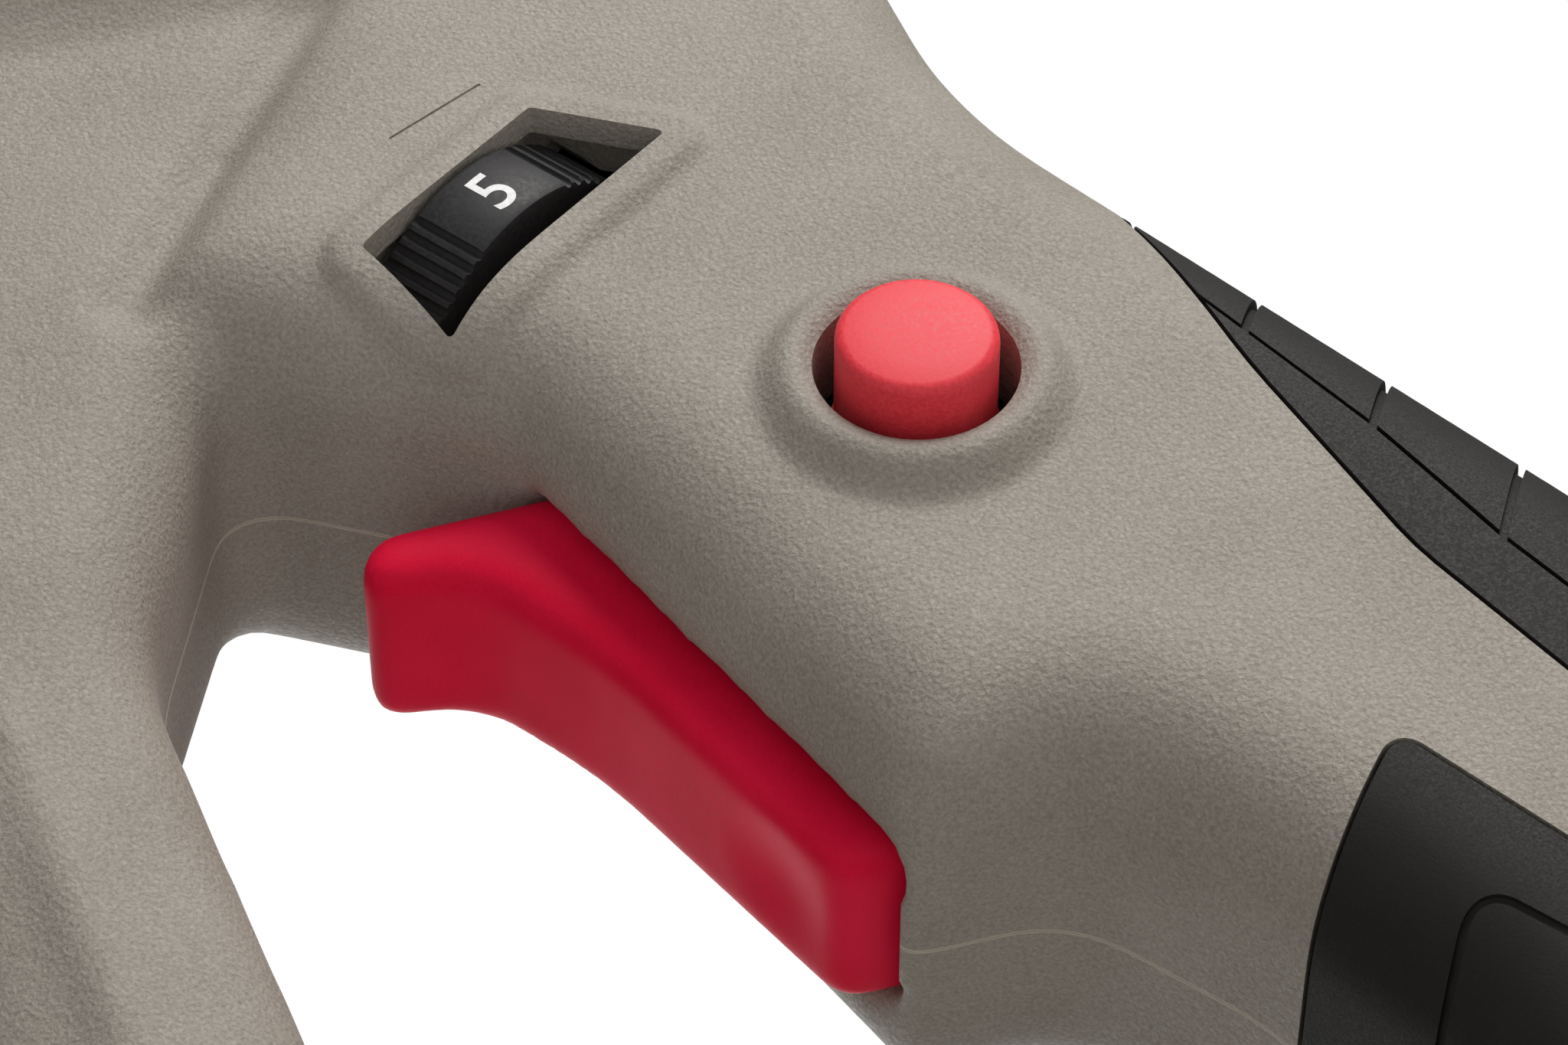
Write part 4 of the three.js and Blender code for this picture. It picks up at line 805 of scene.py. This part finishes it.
black_finish = Finish("black_nylon", roughness=0.5, ior=1.5)
black_grain = black_finish.noise(0.00025, 3, 0.6)
black_cloud = black_finish.noise(0.01, 3)
black_finish.feed("Base Color", black_finish.blend(
    black_finish.ramp(black_grain * 0.6 + black_cloud * 0.4, 0.35, 0.65),
    (0.013, 0.013, 0.014, 1), (0.026, 0.025, 0.026, 1)))
black_finish.feed("Roughness", black_finish.ramp(black_grain, 0.3, 0.7, 0.42, 0.62))
black_finish.relief(black_grain, 0.00005, 0.6)
tail_ring = turned([
    (7.45, -13), (11.4, -13), (12, -12.4), (12, -7.3), (10, -7.3), (10, -4.7), (12, -4.7), (12, -2),
    (5.95, -2), (5.95, -11), (7.45, -13)], (0, 0, axis_z), (1, 0, 0), 64)
finished("tail_guide", tail_ring, black_finish, "housing", ["stick_guide"])

# Nozzle end: a black collar in the barrel's nose, a turned brass nozzle, and a silicone heat boot on it.
nose_profile = [
    (10.5, 105), (16.5, 105), (16.5, barrel_front + gap), (20, barrel_front + gap), (20, 113.2),
    (19.4, 117.3), (18.6, 118.4), (16, 119.5), (12.4, 120.2), (11.2, 120.2), (10.5, 119.7), (10.5, 105)]
finished("nose_collar", turned(nose_profile, (0, 0, axis_z), (1, 0, 0), 96), black_finish, "housing",
         ["front_collar"])

brass_finish = Finish("turned_brass", metallic=1.0, roughness=0.3)
brass_rings = brass_finish.node("ShaderNodeTexWave", {"bands_direction": "X"}, {
    "Vector": brass_finish.place, "Scale": 1600, "Distortion": 1.2, "Detail": 2})
brass_along = brass_finish.node("ShaderNodeSeparateXYZ", {}, {0: brass_finish.place})
brass_heat = brass_finish.ramp(brass_along, 0.13, 0.15)
brass_finish.feed("Base Color", brass_finish.blend(
    brass_heat, (0.64, 0.44, 0.17, 1), (0.42, 0.25, 0.12, 1)))
brass_finish.feed("Roughness", brass_finish.ramp(brass_finish.noise(0.002, 4), 0.3, 0.7, 0.22, 0.42))
brass_finish.relief(brass_rings, 0.00001, 0.4)
nozzle_shape = joined(
    turned([
        (2, 97.3), (6, 97.3), (6, 104.3), (9.5, 104.3), (9.5, 106.9), (7.7, 107.5), (7.7, 121.3),
        (8.3, 121.3), (8.3, 127.3), (3.1, 149.2), (2.6, 150.1), (2.3, 150.3), (1, 150.3), (1, 142), (2, 136),
        (2, 97.3)],
        (0, 0, axis_z), (1, 0, 0), 64),
    softened(
        cut(rod(9.9, (121.1, 0, axis_z), (1, 0, 0), 5.6, 6), rod(6.3, (119, 0, axis_z), (1, 0, 0), 12, 48)),
        0.3, 2, 45))
finished("brass_nozzle", nozzle_shape, brass_finish, "housing", ["nozzle"])

boot_finish = Finish("silicone_rubber", roughness=0.55, ior=1.42)
boot_cloud = boot_finish.noise(0.003, 4)
boot_finish.feed("Base Color", boot_finish.blend(boot_cloud, (0.17, 0.02, 0.014, 1), (0.26, 0.032, 0.02, 1)))
boot_finish.feed("Roughness", boot_finish.ramp(boot_cloud, 0.3, 0.7, 0.48, 0.66))
boot_finish.relief(boot_finish.noise(0.0004, 2), 0.00004, 0.5)
cone_radius, cone_back, cone_front = 8.3, 127.3, 150.3
cone_slope = (cone_radius - 2.6) / (cone_front - cone_back)
boot_back, boot_front, boot_wall = cone_back + 0.6, cone_back + 18, 1.7
rib_start, rib_pitch = 131, 2.6
boot_profile = [(cone_radius - cone_slope * (boot_back - cone_back) + gap, boot_back)]
boot_steps = 40
for step in range(boot_steps + 1):
    x = boot_back + (boot_front - boot_back) * step / boot_steps
    cone = cone_radius - cone_slope * (x - cone_back)
    rise = 0.5 if x < rib_start else 0.18 * math.cos((x - rib_start) * 2 * math.pi / rib_pitch)
    boot_profile.append((cone + gap + boot_wall + rise, x))
boot_profile += [(cone_radius - cone_slope * (boot_front - cone_back) + gap, boot_front), boot_profile[0]]
finished("heat_boot", softened(turned(boot_profile, (0, 0, axis_z), (1, 0, 0), 64), 0.25, 3, 50), boot_finish,
         "housing", ["nozzle_boot"])

# Status lens: a small green light pipe in the barrel's left side.
lens_finish = Finish("green_lens", roughness=0.12, ior=1.49, transmission_weight=0.35)
lens_spread = lens_finish.noise(0.0015, 2)
lens_finish.feed("Base Color", lens_finish.blend(lens_spread, (0.30, 0.78, 0.34, 1), (0.45, 0.9, 0.48, 1)))
lens_finish.feed("Roughness", lens_finish.ramp(lens_spread, 0.3, 0.7, 0.08, 0.2))
lens_profile = [(0, 21), (2.5, 21), (2.5, 26.4), (2.3, 26.8), (1.7, 27.1), (0.8, 27.27), (0, 27.3)]
finished("light_pipe", turned(lens_profile, (45, 0, 209), (0, 1, 0), 40), lens_finish, "housing",
         ["status_lens"])

# Battery: two black cases that close on each other, with a rail on top that slides into the foot.
# Four screws from below hold the cases, and a sprung red latch in each side holds the battery.
battery_corners = [(-57, -36.5, 16), (62, -36.5, 16), (62, 36.5, 16), (-57, 36.5, 16)]
inner_corners = [(-54.5, -34, 13.5), (59.5, -34, 13.5), (59.5, 34, 13.5), (-54.5, 34, 13.5)]
battery_screws = {"back_left": (-49.6, 20), "back_right": (-49.6, -20), "front_left": (54.6, 20),
                  "front_right": (54.6, -20)}
battery_posts = [rod(3.8, (x, y, 0.5), (0, 0, 1), 32.7, 32) for x, y in battery_screws.values()]
latch_seats = [block(22, 42, y0, y1, 22.9, 32.7) for y0, y1 in ((23.4, 25.4), (-25.4, -23.4))]
battery_room = cut(tile(inner_corners, 2.5, 31.2, 1.5), *battery_posts, *latch_seats)
battery_shape = cut(tile(battery_corners, 0, 33.7, 3.2, 0, 8), battery_room)
battery_rail = joined(block(-46, 60.5, -18, 18, 32.7, 40.6), block(-46, 60.5, -22, 22, 36.8, 40.6))
battery_shape = joined(battery_shape, battery_rail)
contact_slots = [block(-47, -28, y - 1.2, y + 1.2, 36.3, 41.6) for y in (-8, 0, 8)]
windows = cut(block(21.7, 42.3, -40, 40, 23.2, 30.0), block(20, 44, -26.7, 26.7, 0, 40))
case_holes = [rod(1.7, (x, y, -1), (0, 0, 1), 28, 24) for x, y in battery_screws.values()]
case_wells = [rod(2.9, (x, y, -1), (0, 0, 1), 4, 32) for x, y in battery_screws.values()]
side_ribs = []
for index in range(9):
    for side in (1, -1):
        x, y = -40 + index * 5, side * 37.2
        side_ribs.append(block(x, x + 1.4, y - 1, y + 1, 6, 14))
battery_shape = cut(battery_shape, *contact_slots, windows, *case_holes, *case_wells, *side_ribs)
upper = kept(battery_shape.copy(), block(-150, 250, -100, 100, 16.85, 100))
lower = kept(battery_shape, block(-150, 250, -100, 100, -10, 16.55))
finished("battery_upper", upper, black_finish, "battery", ["battery_case_upper"], 25)
finished("battery_lower", lower, black_finish, "battery", ["battery_case_lower"], 25)
for name, (x, y) in battery_screws.items():
    finished(f"case_screw_{name}", socket_screw((x, y, 0.9), (0, 0, 1), 2.6, 1.8, 1.4, 23.2, 1.2, 1.1),
             screw_finish, "battery", [f"battery_screw_{name}"], 30)

for side, sign in (("left", 1), ("right", -1)):
    parts = [block(22, 42, 30.6, 37.0, 23.5, 29.7), block(20.4, 43.6, 30.6, 33.7, 22.8, 29.3)]
    parts += [block(27 + 4 * k, 28.4 + 4 * k, 36.5, 37.6, 24.4, 28.8) for k in range(3)]
    latch = softened(joined(*parts), 0.3, 3, 40)
    if sign < 0:
        bmesh.ops.scale(latch, vec=(1, -1, 1), verts=latch.verts)
        bmesh.ops.recalc_face_normals(latch, faces=latch.faces)
    finished(f"release_{side}", latch, red_finish, f"latch_{side}", [f"latch_{side}"])


# Coil springs of bright wire: behind the trigger, under the button and behind each latch.
# Each stands in a seat and has ground ends. The table names the joint that presses it and its travel, but
# nothing here shortens the coil.
def coil(at, direction, length, radius, wire, turns):
    """Round wire wound on a circle, with its ends closed."""
    bm = bmesh.new()
    bmesh.ops.create_circle(bm, cap_ends=False, radius=wire, segments=10)
    bmesh.ops.rotate(bm, cent=(0, 0, 0), matrix=Matrix.Rotation(math.pi / 2, 3, "X"), verts=bm.verts)
    bmesh.ops.translate(bm, vec=(radius - wire, 0, wire), verts=bm.verts)
    steps = turns * 24
    bmesh.ops.spin(
        bm, geom=bm.verts[:] + bm.edges[:], cent=(0, 0, 0), axis=(0, 0, 1),
        dvec=(0, 0, (length - 2 * wire) / steps), angle=2 * math.pi * turns, steps=steps, use_merge=False,
        use_duplicate=False)
    bmesh.ops.holes_fill(bm, edges=[edge for edge in bm.edges if edge.is_boundary], sides=12)
    turn = Vector((0, 0, 1)).rotation_difference(Vector(direction))
    bmesh.ops.transform(bm, matrix=Matrix.Translation(at) @ turn.to_matrix().to_4x4(), verts=bm.verts)
    bmesh.ops.recalc_face_normals(bm, faces=bm.faces)
    return bm


spring_finish = Finish("spring_wire", metallic=1.0, roughness=0.28)
spring_wear = spring_finish.noise(0.0006, 3)
spring_finish.feed("Base Color", spring_finish.blend(
    spring_wear, (0.46, 0.46, 0.47, 1), (0.66, 0.66, 0.66, 1)))
spring_finish.feed("Roughness", spring_finish.ramp(spring_wear, 0.3, 0.7, 0.22, 0.38))
# Foot, direction, length, radius, wire, turns, body, and the joint that presses the spring, with its travel.
springs = {
    "trigger_spring": ((-6, 0, 116), (1, 0, 0), 14, 3.4, 0.45, 5, "housing", "trigger_pull", 8),
    "button_spring": ((3, 8.75, 134), (0, 1, 0), 3.35, 3.2, 0.3, 4, "housing", "button_press", 2.5),
    "latch_spring_left": ((32, 25.7, 26.6), (0, 1, 0), 4.6, 2.4, 0.3, 4, "battery", "latch_left_press", 2.2),
    "latch_spring_right": (
        (32, -25.7, 26.6), (0, -1, 0), 4.6, 2.4, 0.3, 4, "battery", "latch_right_press", 2.2)}
for name, (at, direction, length, radius, wire, turns, body, joint, travel) in springs.items():
    spring = finished(f"{name}_coil", coil(at, direction, length, radius, wire, turns), spring_finish, body,
                      [name], 60)
    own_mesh(spring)

# The works inside keep their shapes and take their own finishes: cast aluminium chamber, ceramic heater,
# stamped steel, nylon carriage, printed boards, terminals and wrapped cells.
cast_finish = Finish("cast_aluminium", metallic=1.0, roughness=0.45)
cast_grain = cast_finish.noise(0.0007, 4, 0.6)
cast_finish.feed("Base Color", cast_finish.blend(cast_grain, (0.50, 0.51, 0.52, 1), (0.66, 0.67, 0.68, 1)))
cast_finish.feed("Roughness", cast_finish.ramp(cast_grain, 0.3, 0.7, 0.38, 0.58))
cast_finish.relief(cast_grain, 0.00008, 0.6)

ceramic_finish = Finish("fired_ceramic", roughness=0.75)
ceramic_grain = ceramic_finish.noise(0.0005, 4)
ceramic_finish.feed("Base Color", ceramic_finish.blend(
    ceramic_grain, (0.68, 0.64, 0.55, 1), (0.80, 0.77, 0.70, 1)))
ceramic_finish.relief(ceramic_grain, 0.00004, 0.5)

nylon_finish = Finish("natural_nylon", roughness=0.45, ior=1.5)
nylon_cloud = nylon_finish.noise(0.003, 4)
nylon_finish.feed("Base Color", nylon_finish.blend(nylon_cloud, (0.72, 0.70, 0.63, 1), (0.82, 0.80, 0.74, 1)))
nylon_finish.feed("Roughness", nylon_finish.ramp(nylon_cloud, 0.3, 0.7, 0.38, 0.55))

board_finish = Finish("circuit_board", roughness=0.35)
board_tracks = board_finish.node("ShaderNodeTexBrick", {}, {
    "Vector": board_finish.place, "Scale": 300, "Color1": (0.02, 0.14, 0.05, 1),
    "Color2": (0.02, 0.11, 0.04, 1), "Mortar": (0.05, 0.24, 0.09, 1)})
board_finish.feed("Base Color", board_tracks)
board_finish.relief(board_finish.noise(0.0008, 3), 0.00003, 0.5)

wrap_finish = Finish("cell_sleeve", roughness=0.3, ior=1.5)
wrap_cloud = wrap_finish.noise(0.01, 3)
wrap_finish.feed("Base Color", wrap_finish.blend(wrap_cloud, (0.03, 0.14, 0.28, 1), (0.04, 0.19, 0.36, 1)))
wrap_finish.feed("Roughness", wrap_finish.ramp(wrap_cloud, 0.3, 0.7, 0.24, 0.4))

kept_nodes = {
    "potentiometer": screw_finish, "control_board": board_finish, "switch_body": black_finish,
    "feed_rocker": screw_finish, "rocker_pin": screw_finish, "feed_carriage": nylon_finish,
    "clamp_jaw": screw_finish, "inlet_sleeve": boot_finish, "melt_chamber": cast_finish,
    "heater_element": ceramic_finish, "heater_clip": screw_finish, "temperature_sensor": ceramic_finish,
    "heat_shield": screw_finish, "terminal_block": black_finish, "battery_board": board_finish,
    **{f"cell_{number}": wrap_finish for number in range(1, 6)}}
for name, finish in kept_nodes.items():
    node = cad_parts[name]
    node.data.materials.clear()
    node.data.materials.append(finish.material)
